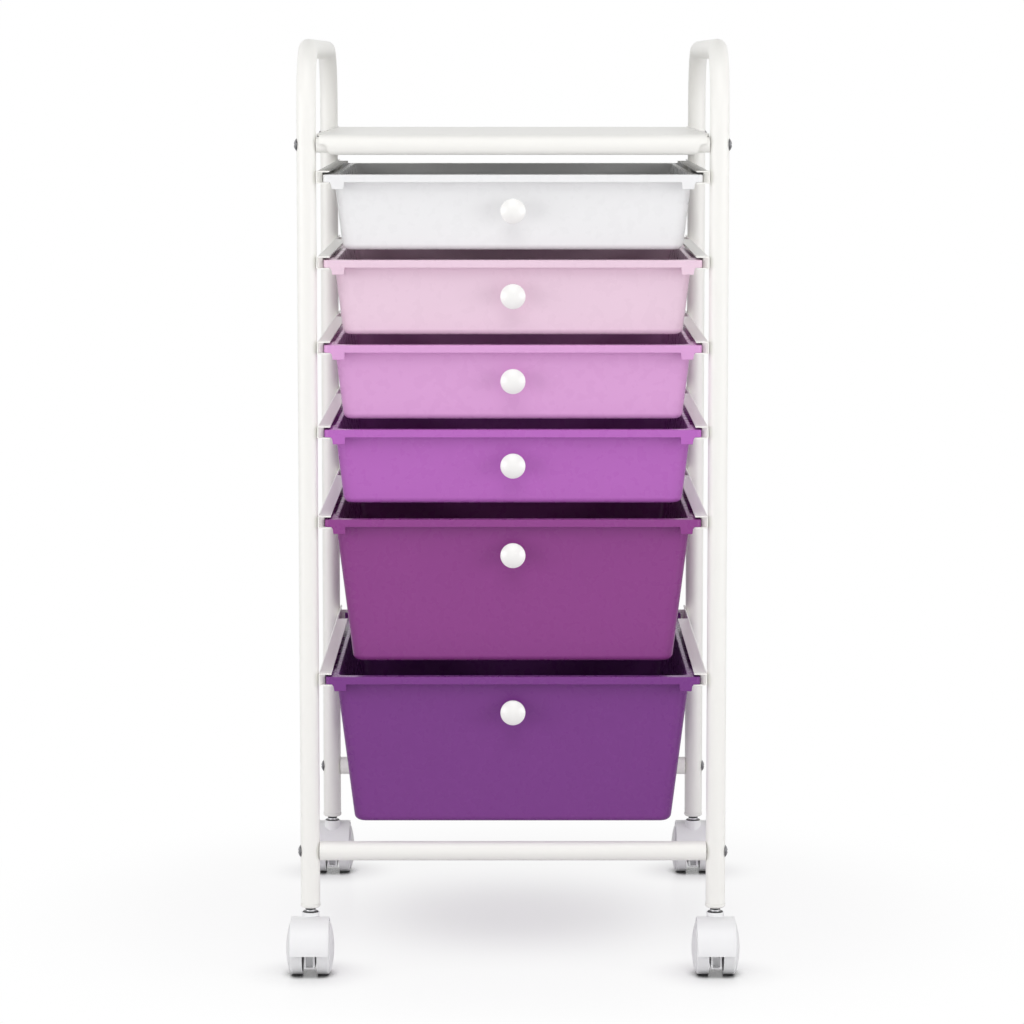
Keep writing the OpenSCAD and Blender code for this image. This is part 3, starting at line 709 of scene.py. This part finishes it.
class TOWER_OT_bars(TowerOperator):
    """Two straight tubes between the posts, under the drawers"""

    bl_idname = "tower.bars"
    bl_label = "Bottom Bars"

    def make(self, sizes, _drawers, _casters):
        along = np.linspace(-INNER_X, INNER_X, 24)
        for word, y in (("front", FRONT_Y), ("back", BACK_Y)):
            path = np.column_stack([along, 0 * along + y, 0 * along + BAR_Z])
            shell = tube_walls(path, (0, 1, 0), TUBE_R, TUBE_R - sizes.tube_wall, sizes.tube_edge)
            piece(f"{word}_bottom_bar_tube", [shell], f"{word}_bottom_bar", "frame_paint",
                  powder_coat("frame_powder_coat"))


class TOWER_OT_inserts(TowerOperator):
    """Eight threaded inserts in the ends of the tray's rolls and of the bars"""

    bl_idname = "tower.inserts"
    bl_label = "Threaded Inserts"

    def make(self, sizes, _drawers, _casters):
        bore, length, room = 2.6, 24, 0.5
        held = {ROLL_Z: ROLL_R - sizes.tray_sheet, BAR_Z: TUBE_R - sizes.tube_wall}
        bridged = {ROLL_Z: sizes.roll_gap + sizes.roll_cut + sizes.roll_cut_r + room, BAR_Z: 0}
        shells = []
        for y, z in JOINTS:
            outer, start = held[z] - 0.1, -bridged[z]
            neck = outer - sizes.neck_step
            front = [(neck, 0), (neck, start), (outer, start)] if start else [(outer, 0)]
            corners = [*front, (outer, start - length), (bore, start - length), (bore, 0)]
            radii = [0.4, 0.2, 0.3][:len(front)] + [1, 0.5, 0.3]
            profile = rounded(corners, radii, 4, closed=True)
            shells += [ring_of(lathe(profile, (side * INNER_X, y, z), outward(side), 48))
                       for side in SIDES.values()]
        piece("threaded_inserts_moulded", shells, "threaded_inserts", "insert_plastic",
              moulded("insert_plastic_moulded", "plug", 0.4))


def recessed_head(centre, side, diameter, height, slot, around=72, rings=22):
    """A domed screw head with a cross recess, as a height over a disc: the dome's circle, less a
    smooth cross whose depth falls off at the slot's walls and ends. slot gives the cross's width,
    length and depth, and the width of its walls. The last ring drops to the seat and closes."""
    radius = diameter / 2
    ball = (radius**2 + height**2) / (2 * height)
    share = np.linspace(0, 1, rings)[:, None]
    angle = np.linspace(0, 2 * np.pi, around, endpoint=False)
    first, second = radius * share * np.cos(angle), radius * share * np.sin(angle)
    rise = np.sqrt(ball**2 - (radius * share) ** 2) - (ball - height) + 0 * angle
    wide, long, deep, soft = slot

    def arm(along, across):
        """1 inside one arm of the cross, falling to 0 over the soft width."""
        inside = np.clip((long / 2 - np.abs(along)) / soft, 0, 1)
        return inside * np.clip((wide / 2 - np.abs(across)) / soft + 0.5, 0, 1)

    rise = rise - deep * np.maximum(arm(first, second), arm(second, first))
    grid = np.stack([side * rise, first, second], -1)
    seat = np.stack([0 * angle, first[-1], second[-1]], -1)
    grid = np.concatenate([grid, seat[None]])
    return shell_of(grid + np.asarray(centre, float), caps=(False, True))


class TOWER_OT_frame_screws(TowerOperator):
    """Eight screws with domed, cross-recessed heads on the outer sides of the posts"""

    bl_idname = "tower.frame_screws"
    bl_label = "Frame Screws"

    def make(self, sizes, _drawers, _casters):
        head_h, cross, shank_r, length = 2, (1.1, 4.8, 0.9, 0.35), 2.5, 35
        shank = rounded([(0, 0), (shank_r, 0), (shank_r, 1 - length), (0, -length)], [0, 0, 0.8, 0], 3)
        shells = []
        for side in SIDES.values():
            for y, z in JOINTS:
                head = (side * (POST_X + TUBE_R), y, z)
                shells.append(recessed_head(head, side, sizes.head_d, head_h, cross))
                shells.append(lathe(shank, head, outward(side), 24))
        piece("frame_screws_plated", shells, "frame_screws", "screw_steel",
              zinc_plate("frame_screw_zinc"))


class TOWER_OT_runners(TowerOperator):
    """Twelve C-channel runners, turned in at the front and with a stop tab behind the drawer"""

    bl_idname = "tower.runners"
    bl_label = "Runners"

    def make(self, sizes, _drawers, _casters):
        sheet, bend = sizes.rail_sheet, sizes.rail_bend
        for level in range(1, LEVELS + 1):
            low, high = span(f"right_rail_{level}")
            rim_x, rim_back = span(f"drawer_{level}")[1][:2]
            lips = [(low[0], high[2]), (high[0], high[2]), (high[0], low[2]), (low[0], low[2])]
            line = rounded(lips, [0, bend, bend, 0], 5)
            rows = np.linspace(low[1], high[1], 12)[:, None]
            channel = shell_of(np.stack([line[:, 0] + 0 * rows, 0 * line[:, 0] + rows,
                                         line[:, 1] + 0 * rows], -1), OPEN, OPEN)
            foot, roof, web = low[2] + sheet, high[2] - sheet, high[0] - sheet
            front = low[1] + sizes.end_setback
            corners = [(web, front - sizes.end_slant), (web, front - sizes.end_slant + sheet),
                       (rim_x + sizes.side_play, front + sizes.end_slant + sheet),
                       (rim_x + sizes.side_play, front + sizes.end_slant)]
            turned_in = plate(rounded(corners, [0.15] * 4, 3, closed=True), foot, roof, 0.14, "z", 3)
            cut = block((low[0] - 2, high[1] - sizes.lip_end, roof - 0.02),
                        (web - bend + sheet, high[1] + 2, high[2] + 2), 0.3)
            stop = block((low[0] + 0.6, rim_back + 0.35, foot), (web, rim_back + 1.4, roof), 0.15)
            for word, side in SIDES.items():
                name = f"{word}_rail_{level}"
                rail = piece(f"{word}_runner_{level}", mirrored([channel], side), name, "rail_paint",
                             powder_coat("runner_powder_coat"), [("DIFFERENCE", mirrored([cut], side))],
                             sheet=sheet, edge=0.18)
                add_shells(rail, mirrored([turned_in, stop], side))


def add_shells(thing, shells):
    """Adds closed shells to a finished piece's mesh."""
    extra = mesh_of("extra", shells)
    work = bmesh.new()
    work.from_mesh(thing.data)
    work.from_mesh(extra)
    work.to_mesh(thing.data)
    work.free()
    bpy.data.meshes.remove(extra)
    smooth(thing.data)


class TOWER_OT_rivets(TowerOperator):
    """Twenty-four rivets that hold the runners to the posts"""

    bl_idname = "tower.rivets"
    bl_label = "Rivets"

    def make(self, sizes, _drawers, _casters):
        radius, height = sizes.rivet_d / 2, 1.1
        ball = (radius**2 + height**2) / (2 * height)
        swing = np.linspace(0, math.asin(radius / ball), 8)
        dome = np.stack([ball * np.sin(swing), ball * np.cos(swing) - (ball - height)], 1)
        shank = rounded([(radius, 0), (1.6, 0), (1.6, -2.6), (2.2, -2.6), (2.2, -3.4), (0, -4)],
                        [0, 0, 0, 0.3, 0.5, 0], 3)
        profile = np.concatenate([dome, shank])
        shells = []
        for level in range(1, LEVELS + 1):
            low, high = span(f"right_rail_{level}")
            for side, y in POSTS:
                seat = (side * (INNER_X - sizes.rail_sheet), y, (low[2] + high[2]) / 2)
                shells.append(lathe(profile, seat, outward(-side), 20))
        piece("rail_rivets_plated", shells, "rail_rivets", "screw_steel", zinc_plate("rivet_zinc"))


def rim_line(half_x, half_y, radius, stations, corner_steps=8):
    """A closed rounded rectangle, from the middle of its right side anticlockwise. stations are
    the straight sides' points as shares from -1 to 1 of the straight length."""
    turn = np.linspace(0, np.pi / 2, corner_steps + 1)
    arc = radius * np.stack([np.cos(turn), np.sin(turn)], 1)
    straight_x, straight_y = half_x - radius, half_y - radius
    inner = stations[1:-1]
    sides = []
    for quarter, (length, away) in enumerate(
        [(straight_y, half_x), (straight_x, half_y), (straight_y, half_x), (straight_x, half_y)]
    ):
        run = np.stack([0 * inner + away, inner * length], 1)
        corner = np.array([away - radius, length]) + arc
        angle = quarter * np.pi / 2
        turned = np.array([[math.cos(angle), math.sin(angle)], [-math.sin(angle), math.cos(angle)]])
        sides.append(np.concatenate([run, corner]) @ turned)
    return np.concatenate(sides)


class TOWER_OT_drawers(TowerOperator):
    """Six drafted drawers with turned-down rims, tabs and side flanges"""

    bl_idname = "tower.drawers"
    bl_label = "Drawers"

    def make(self, _sizes, sizes, _casters):
        for level in range(1, LEVELS + 1):
            node = f"drawer_{level}"
            low, high = span(node)
            centre = np.array([0, (low[1] + high[1]) / 2, high[2]])
            half = (high - low)[:2] / 2
            tub = self.tub(sizes, half, high[2] - low[2])
            flange, gutter = self.side(sizes, half)
            for shell in (tub, flange, gutter):
                shell["grid"] = shell["grid"] + centre
            both = [[shell, *mirrored([shell], -1)] for shell in (flange, gutter)]
            piece(f"{node}_moulded", [tub], node, SLOT_OF_DRAWER[level - 1],
                  moulded(f"{node}_plastic", node, 0.28, 0.2),
                  [("UNION", both[0]), ("DIFFERENCE", both[1])], edge=0.25)

    @staticmethod
    def side(sizes, half):
        """The right side behind the rim's corner: a block that closes the rim's foot, and the
        gutter that is cut above it, outside the bead on the wall."""
        wall_x, wall_y = half - sizes.overhang
        front, back = sizes.corner_l - half[1], wall_y
        grip = sizes.rim_t / 4
        flange = block((wall_x - sizes.wall / 2, front - sizes.rim_t, 0.05 - sizes.rim_h),
                       (half[0] - grip, back + sizes.rim_t, -sizes.rim_t / 2), 0.1)
        gutter = block((wall_x + sizes.bead_t, front, sizes.rim_t - sizes.rim_h),
                       (half[0] + 2, back, 2), 0.4)
        return flange, gutter

    @staticmethod
    def tub(sizes, half, height):
        """Rings of a rounded rectangle that run from the middle of the outer floor up the drafted
        wall, out under the rim, down and round its skirt, up over its top and down the inner wall
        to the middle of the inner floor. On the front side the skirt's lower edge drops by the tab
        height between the tabs' slanted ends."""
        wall, edge, foot_r = sizes.wall, sizes.rim_edge, sizes.floor_r
        skirt = sizes.rim_t / 4
        lean = np.tan(np.radians([sizes.side_draft, sizes.front_draft]))
        turn = np.linspace(0, np.pi / 2, 7)
        short, full = 1 - np.cos(turn), 1 - np.sin(turn)
        rings = []

        def outer(z, inset, radius):
            rings.append((half - sizes.overhang + z * lean - inset, radius, z, False))

        def inner(z, inset, radius):
            rings.append((half - sizes.overhang + (z - wall) * lean - wall - inset, radius, z, False))

        def rim(z, inset, radius, has_tabs=False):
            rings.append((half - inset, max(0.6, radius), z, has_tabs))

        for share in (0.3, 0.65, 0.9):
            outer(-height, foot_r + (1 - share) * 90, (sizes.corner_r - 4) * share + 1)
        for across, up in zip(short[::-1], full[::-1]):
            outer(-height + foot_r * up, foot_r * across, sizes.corner_r - foot_r * across * 0.9)
        for share in (0.35, 0.7, 0.93):
            outer(foot_r - height + share * (height - foot_r - sizes.rim_t), 0, sizes.corner_r)
        outer(-sizes.rim_t - 0.3, 0, sizes.corner_r)
        outer(-sizes.rim_t, -0.3, sizes.corner_r)
        rim(-sizes.rim_t, sizes.rim_t + 0.3, sizes.rim_corner_r - 1.3)
        rim(-sizes.rim_t - 0.3, sizes.rim_t, sizes.rim_corner_r - 1.3)
        for across, up in zip(short, full):
            rim(-sizes.rim_h + skirt * up, sizes.rim_t - skirt * across,
                sizes.rim_corner_r - sizes.rim_t + skirt * across, True)
        for across, up in zip(short[::-1], full[::-1]):
            rim(-sizes.rim_h + skirt * up, skirt * across, sizes.rim_corner_r - skirt * across, True)
        for across, up in zip(short, full):
            rim(-edge * up, edge * across, sizes.rim_corner_r - edge * across)
        for across, up in zip(short[::-1], full[::-1]):
            inner(-edge * up, -edge * across, sizes.corner_r - wall + edge)
        floor, fillet = wall - height, foot_r - wall
        for share in (0.1, 0.4, 0.75):
            inner(share * (floor + fillet), 0, sizes.corner_r - wall)
        for across, up in zip(short, full):
            inner(floor + fillet * up, fillet * across, sizes.corner_r - wall - fillet * across * 0.9)
        for share in (0.9, 0.65, 0.3):
            inner(floor, fillet + (1 - share) * 90, 4 * share + 1)

        # Stations along the straight sides: even ones, and the tabs' corners on the front
        straight = half[0] - sizes.rim_corner_r
        tab_end = sizes.tab_x + sizes.tab_w
        ends = [sizes.tab_x, sizes.tab_x + sizes.tab_slant, tab_end - sizes.tab_slant, tab_end,
                tab_end + sizes.tab_flare]
        drops = [0, sizes.tab_h, sizes.tab_h, 0.3 * sizes.tab_h, 0]
        marks = [*ends, ends[0] - 0.4, (ends[1] + ends[2]) / 2, straight]
        stations = np.unique(np.concatenate([np.linspace(0, 0.88, 9) * straight, marks])) / straight
        stations = np.concatenate([-stations[:0:-1], stations])
        grid = []
        for halves, radius, z, has_tabs in rings:
            line = rim_line(*halves, radius, stations)
            drop = 0 * line[:, 0]
            if has_tabs:
                front = line[:, 1] < -halves[1] + 0.1 * radius
                place = np.abs(line[:, 0]) / (halves[0] - radius) * straight
                drop = np.interp(place, ends, drops) * front
            grid.append(np.column_stack([line, z - drop]))
        return shell_of(np.array(grid))


class TOWER_OT_knobs(TowerOperator):
    """Six mushroom knobs, one on the front of each drawer"""

    bl_idname = "tower.knobs"
    bl_label = "Knobs"

    def make(self, _sizes, sizes, _casters):
        for level in range(1, LEVELS + 1):
            low, high = span(f"knob_{level}")
            radius, length = (high[0] - low[0]) / 2, high[1] - low[1]
            foot = sizes.knob_foot_d / 2
            shank = length - sizes.knob_dome - sizes.knob_edge
            ball = (radius**2 + sizes.knob_dome**2) / (2 * sizes.knob_dome)
            swing = np.linspace(0, math.asin(radius / ball), 15)[:-1]
            dome = np.stack([ball * np.sin(swing), length - ball * (1 - np.cos(swing))], 1)
            skirt = rounded(
                [dome[-1], (radius, length - sizes.knob_dome), (radius, shank), (foot, shank), (foot, 0),
                 (2.1, 0), (2.1, 8)], [0, 0.9, 1.1, 1.4, 0.3, 0.3, 0], 6)
            profile = np.concatenate([dome, skirt[1:], [(0, 8)]])
            shell = lathe(profile, ((high[0] + low[0]) / 2, high[1], (high[2] + low[2]) / 2), "-y", 72)
            piece(f"knob_{level}_moulded", [shell], f"knob_{level}", "knob_plastic",
                  glossy_plastic("knob_plastic_gloss", "knob"))


class TOWER_OT_knob_screws(TowerOperator):
    """Six pan screws that hold the knobs, seen inside the drawers"""

    bl_idname = "tower.knob_screws"
    bl_label = "Knob Screws"

    def make(self, _sizes, sizes, _casters):
        for level in range(1, LEVELS + 1):
            low, high = span(f"knob_screw_{level}")
            radius = (high[0] - low[0]) / 2
            seat = high[1] - 2.2
            head = recessed_head((0, 0, 0), 1, 2 * radius, 2.2, (1.2, 4.6, 1.1, 0.35))
            head["grid"] = head["grid"][..., [1, 0, 2]] + np.array([0, seat, (high[2] + low[2]) / 2])
            shank = lathe(rounded([(0, 0), (2, 0), (2, seat - low[1]), (0, seat - low[1])],
                                  [0, 0, 0.5, 0], 3),
                          (0, seat, (high[2] + low[2]) / 2), "-y", 24)
            piece(f"knob_screw_{level}_plated", [head, shank], f"knob_screw_{level}", "screw_steel",
                  zinc_plate("knob_screw_zinc"))


class TOWER_OT_stems(TowerOperator):
    """Four caster stems, each with a flange over the hood's collar"""

    bl_idname = "tower.stems"
    bl_label = "Caster Stems"

    def make(self, _sizes, _drawers, sizes):
        for leg in LEGS:
            low, high = span(f"{leg}_stem")
            hood_top = span(f"{leg}_hood")[1][2]
            flange, neck, rod = sizes.flange_d / 2, sizes.neck_d / 2, 3.5
            grip = neck - 0.1
            corners = [(0, low[2]), (rod, low[2]), (rod, hood_top - 0.9), (flange, hood_top - 0.9),
                       (flange, hood_top + 0.7), (neck, hood_top + 0.7), (neck, LEG_Z), (grip, LEG_Z),
                       (grip, high[2] - 3), (grip - 1, high[2]), (0, high[2])]
            profile = rounded(corners, [0, 0.8, 0.2, 0.35, 0.35, 0.2, 0.1, 0.1, 0.8, 0.5, 0], 4)
            middle = (low + high) / 2
            # The stems' finish holds painted shade: near black above and below a bright band on the neck
            piece(f"{leg}_stem_plated", [lathe(profile, (middle[0], middle[1], 0), "z", 48)],
                  f"{leg}_stem", "stem_steel", stem_plate_painted_shade("stem_plating", hood_top + 0.9, LEG_Z - 1.9))


class TOWER_OT_hoods(TowerOperator):
    """Four caster hoods: a crown over both wheels, the web between them and the collar"""

    bl_idname = "tower.hoods"
    bl_label = "Caster Hoods"

    def make(self, _sizes, _drawers, sizes):
        for leg in LEGS:
            low, high = span(f"{leg}_hood")
            crown, changes = self.shells(sizes, (high[0] - low[0]) / 2, middle_of(f"{leg}_axle"),
                                         middle_of(f"{leg}_stem"), high[2])
            piece(f"{leg}_hood_moulded", [crown], f"{leg}_hood", "caster_plastic",
                  moulded("caster_hood_plastic", "hood", 0.34), changes)

    @staticmethod
    def shells(sizes, half_w, axle, stem, top):
        """The crown is a closed section, wide and thin with round outer edges, turned about the
        axle between the two lower edges. The web is a plate whose outline is the crown's arc above
        and a narrower block with round lower corners below. Collar, boss and hub are turned, the
        wheels' wells are cut out of the collar, and a pocket is cut into each end of the web."""
        crown_r = top - sizes.collar_rise - axle[2]
        well_r = crown_r - sizes.hood_t
        web_l, half_web = axle[2] - sizes.web_short, sizes.web_t / 2
        drop = 2.5
        dip = math.asin(drop / crown_r)
        section = rounded([(-half_w, well_r), (-half_w, crown_r), (half_w, crown_r), (half_w, well_r)],
                          [0.3, sizes.hood_edge, sizes.hood_edge, 0.3], 5, closed=True)
        angle = np.linspace(-dip, np.pi + dip, 57)[:, None]
        crown = np.stack([section[:, 0] + 0 * angle, section[:, 1] * np.cos(angle),
                          section[:, 1] * np.sin(angle)], -1)
        crown = shell_of(crown + axle)
        foot = sizes.web_foot - axle[2]
        over = np.linspace(-dip, np.pi + dip, 41)
        arc = (well_r + sizes.hood_t / 2) * np.stack([np.cos(over), np.sin(over)], 1)
        (right, edge), (left, _) = arc[0], arc[-1]
        lower = rounded([(left, edge), (-web_l, edge), (-web_l, foot), (web_l, foot), (web_l, edge),
                         (right, edge)],
                        [0, 1, sizes.web_corner_r, sizes.web_corner_r, 1, 0], 5)
        outline = np.concatenate([arc, lower[1:-1]]) + axle[1:]
        web = plate(outline, stem[0] - half_web, stem[0] + half_web, 0.5, "x", 3)

        def turned(corners, radii, place, axis="z"):
            return lathe(rounded(corners, radii, 4), place, axis, 48)

        foot_of_stem, collar_r = (stem[0], stem[1], 0), sizes.collar_d / 2
        low, high = axle[2] - 5, axle[2] + 19
        collar = turned([(0, low + 13), (6.5, low + 13), (collar_r, high - 2), (collar_r, top),
                         (6.2, top), (6.2, top - 1.2), (0, top - 1.2)],
                        [0, 0, 0, 0.5, 0.1, 0.1, 0], foot_of_stem)
        boss = turned([(0, low), (5.2, low), (5.2, high), (0, high)], [0, 0.8, 0, 0], foot_of_stem)
        hub = turned([(0, -5.3), (5, -5.3), (5, 5.3), (0, 5.3)], [0, 0.4, 0.4, 0], axle, "x")
        near, far, room = half_web + 0.02, half_w + 1, well_r - 0.05
        wells = [lathe([(0, near), (room, near), (room, far), (0, far)], axle, axis, 96)
                 for axis in ("x", "-x")]
        pockets = []
        trails = math.copysign(1, axle[1] - stem[1])
        for end, roof in ((trails, axle[2]), (-trails, low)):
            ends = sorted((axle[1] + end * (web_l + 1), axle[1] + end * (web_l - sizes.pocket_l)))
            half = sizes.pocket_w / 2
            pockets.append(block((stem[0] - half, ends[0], sizes.web_foot + 1.5),
                                 (stem[0] + half, ends[1], roof), 0.4))
        return crown, [("UNION", [web, collar]), ("DIFFERENCE", wells), ("UNION", [boss, hub]),
                       ("DIFFERENCE", pockets)]


class TOWER_OT_axles(TowerOperator):
    """Four steel axles inside the casters"""

    bl_idname = "tower.axles"
    bl_label = "Axles"

    def make(self, _sizes, _drawers, _casters):
        for leg in LEGS:
            low, high = span(f"{leg}_axle")
            middle, half = (low + high) / 2, (high[0] - low[0]) / 2
            radius = (high[2] - low[2]) / 2
            profile = rounded([(0, -half), (radius, -half), (radius, half), (0, half)],
                              [0, 0.4, 0.4, 0], 4)
            piece(f"{leg}_axle_turned", [lathe(profile, middle, "x", 32)], f"{leg}_axle",
                  "stem_steel", zinc_plate("axle_zinc"))


class TOWER_OT_wheels(TowerOperator):
    """Eight caster wheels, each a tread and a domed disc in one moulding"""

    bl_idname = "tower.wheels"
    bl_label = "Wheels"

    def make(self, _sizes, _drawers, sizes):
        for leg in LEGS:
            for letter, side in (("a", -1), ("b", 1)):
                node = f"{leg}_wheel_{letter}"
                low, high = span(node)
                centre_x = middle_of(f"{leg}_stem")[0]
                centre = (centre_x, (low[1] + high[1]) / 2, (low[2] + high[2]) / 2)
                radius = (high[2] - low[2]) / 2
                inner = abs((low if side > 0 else high)[0] - centre_x)
                outer = abs((high if side > 0 else low)[0] - centre_x)
                profile = self.profile(sizes, radius, inner, outer - sizes.bulge)
                shell = ring_of(lathe(profile, centre, outward(side), 96))
                piece(f"{node}_moulded", [shell], node, "wheel_plastic",
                      moulded("wheel_plastic_moulded", "wheel", 0.3))

    @staticmethod
    def profile(sizes, radius, inner, outer):
        """Radius and place along the axle of the closed section: bore, hub, hollow, tread, round
        outer edge and the disc's dome, an arc that falls by the bulge from its middle."""
        bore, hub, tread, disc = 2.55, 5.5, 2.6, 2.4
        ball = (radius**2 + sizes.bulge**2) / (2 * sizes.bulge)
        shoulder = radius - sizes.tread_edge
        swing = np.linspace(math.asin(shoulder / ball), 0, 14)
        dome = np.stack([ball * np.sin(swing), outer + sizes.bulge - ball * (1 - np.cos(swing))], 1)
        turn = np.linspace(0, np.pi / 2, 8)
        edge = np.stack([shoulder + sizes.tread_edge * np.cos(turn),
                         outer - sizes.tread_edge + sizes.tread_edge * np.sin(turn)], 1)
        hollow = rounded(
            [(bore, outer + 0.9), (bore, inner), (hub, inner), (hub, outer - disc),
             (radius - tread, outer - disc), (radius - tread, inner), (radius, inner), edge[0]],
            [0, 0.2, 0.3, 0.8, 1.2, 0.3, 0.5, 0], 4)
        return np.concatenate([hollow, edge[1:], dome, [(0, outer + 0.9)]])


class TOWER_OT_stage(TowerOperator):
    """The pale floor, the soft lamps and the camera"""

    bl_idname = "tower.stage"
    bl_label = "Stage"

    def make(self, _sizes, _drawers, _casters):
        self.floor()
        self.surroundings()
        self.lamps()
        self.camera()

    @staticmethod
    def floor():
        """A wide square at the wheels' contact height."""
        side = 12
        mesh = bpy.data.meshes.new("floor")
        corners = [(-side, -side, 0), (side, -side, 0), (side, side, 0), (-side, side, 0)]
        mesh.from_pydata(corners, [], [(0, 1, 2, 3)])
        floor = placed("floor", mesh)
        recipe = Recipe(bpy.data.materials.new("pale_floor"))
        seen = recipe.add("ShaderNodeLightPath", output="Is Camera Ray")
        # Painted contact shadow: within 14 mm of the wheels the occlusion turns the floor's colour
        # towards 0.1, and the white glow is held back there too
        open_air = recipe.add("ShaderNodeAmbientOcclusion", {"samples": 8}, {"Distance": 0.014},
                              "AO")
        contact = recipe.climb(open_air, 0.25, 0.8)
        pale = recipe.blend(seen, (0.93, 0.93, 0.935, 1), (0.97, 0.97, 0.975, 1))
        colour = recipe.blend(contact, (0.1, 0.1, 0.1, 1), pale)
        lit = recipe.add("ShaderNodeBsdfPrincipled", None, {"Base Color": colour, "Roughness": 0.25})
        glow = recipe.add("ShaderNodeEmission", None, {"Color": WHITE, "Strength": 1})

        def vector(operation, *values, output=0):
            return recipe.add("ShaderNodeVectorMath", {"operation": operation},
                              dict(enumerate(values)), output)

        # The distance to the nearest caster, as all four stand alike about the middle, and to the
        # darkest point of the shade, near the middle
        axle = middle_of("back_right_axle") * (MM, MM, 0)
        beside = vector("DISTANCE", vector("ABSOLUTE", recipe.place()), tuple(axle), output=1)
        away = vector("DISTANCE", recipe.place(), (0, 0.03, 0), output=1)
        open_share = recipe.climb(away, 0, 0.24, 0.45, 0.85) + recipe.climb(away, 0.2, 0.5, 0, 0.15)
        share = contact * recipe.climb(beside, -0.02, 0.07) * open_share
        surface = recipe.add("ShaderNodeMixShader", None, {0: share * seen, 1: lit, 2: glow})
        recipe.add("ShaderNodeOutputMaterial", None, {"Surface": surface})
        mesh.materials.append(recipe.owner)

    @staticmethod
    def surroundings():
        """A white surround for what the camera and reflections see, and a soft fill for the rest."""
        seen, fill = 1, 0.33
        world = bpy.data.worlds.new("studio")
        bpy.context.scene.world = world
        recipe = Recipe(world)
        diffuse = recipe.add("ShaderNodeLightPath", output="Is Diffuse Ray")
        strength = recipe.add("ShaderNodeMix", None, {0: diffuse, 2: seen, 3: fill})
        light = recipe.add("ShaderNodeBackground", None, {"Color": WHITE, "Strength": strength})
        recipe.add("ShaderNodeOutputWorld", None, {"Surface": light})

    @staticmethod
    def lamps():
        """Large soft boxes in front, at both sides and above: name, place, size, watts."""
        aim = np.array([0, 0, 0.36])
        for name, place, width, watts in (
            ("front_box", (0.0, -2.8, 0.5), 2.4, 5),
            ("left_box", (-2.2, -1.2, 0.4), 1.8, 31),
            ("right_box", (2.2, -1.2, 0.4), 1.8, 31),
            ("top_box", (0.0, -1.3, 2.4), 2.0, 20),
        ):
            lamp = bpy.data.lights.new(name, "AREA")
            lamp.size, lamp.energy = width, watts
            thing = placed(name, lamp)
            x, y, z = aim - np.array(place)
            thing.location = place
            thing.rotation_euler = (math.atan2(math.hypot(x, y), -z), 0, math.atan2(-x, y))

    @staticmethod
    def camera():
        """The photograph's view: a long lens in front of the tower, tilted down a little."""
        camera = bpy.data.cameras.new("camera")
        sensor, focal_px, photo_px = 36, 3960, 1024
        eye_x, eye_away, eye_z, tilt = -0.0007, 3.030, 0.7018, 6.43
        camera.sensor_width, camera.lens = sensor, sensor * focal_px / photo_px
        thing = placed("camera", camera)
        thing.location = (eye_x, FRONT_Y * MM - eye_away, eye_z)
        thing.rotation_euler = (math.radians(90 - tilt), 0, 0)
        bpy.context.scene.camera = thing


OPERATORS = (
    TOWER_OT_stage, TOWER_OT_side_frames, TOWER_OT_leg_plugs, TOWER_OT_tray, TOWER_OT_bars,
    TOWER_OT_inserts, TOWER_OT_frame_screws, TOWER_OT_runners, TOWER_OT_rivets, TOWER_OT_drawers,
    TOWER_OT_knobs, TOWER_OT_knob_screws, TOWER_OT_stems, TOWER_OT_hoods, TOWER_OT_axles,
    TOWER_OT_wheels,
)
GROUPS = {"tower_frame": TowerFrameSizes, "tower_drawer": TowerDrawerSizes,
          "tower_caster": TowerCasterSizes, "tower_colours": TowerColours}


class TOWER_PT_panel(Panel):
    """The tower's sizes, colours and pieces"""

    bl_label = "Drawer Tower"
    bl_idname = "TOWER_PT_panel"
    bl_space_type = "VIEW_3D"
    bl_region_type = "UI"
    bl_category = "Tower"

    def draw(self, context):
        for name in GROUPS:
            group = getattr(context.scene, name)
            box = self.layout.box()
            for prop in group.__annotations__:
                box.prop(group, prop)
        for operator in OPERATORS:
            self.layout.operator(operator.bl_idname)


def register():
    for cls in (*GROUPS.values(), *OPERATORS, TOWER_PT_panel):
        bpy.utils.register_class(cls)
    for name, group in GROUPS.items():
        setattr(bpy.types.Scene, name, PointerProperty(type=group))


def unregister():
    for name in GROUPS:
        delattr(bpy.types.Scene, name)
    for cls in (TOWER_PT_panel, *reversed(OPERATORS), *reversed(GROUPS.values())):
        bpy.utils.unregister_class(cls)


def main():
    register()
    bpy.context.scene.view_settings.view_transform = "Standard"
    for operator in OPERATORS:
        getattr(bpy.ops.tower, operator.bl_idname.split(".")[1])()


if __name__ == "__main__":
    main()
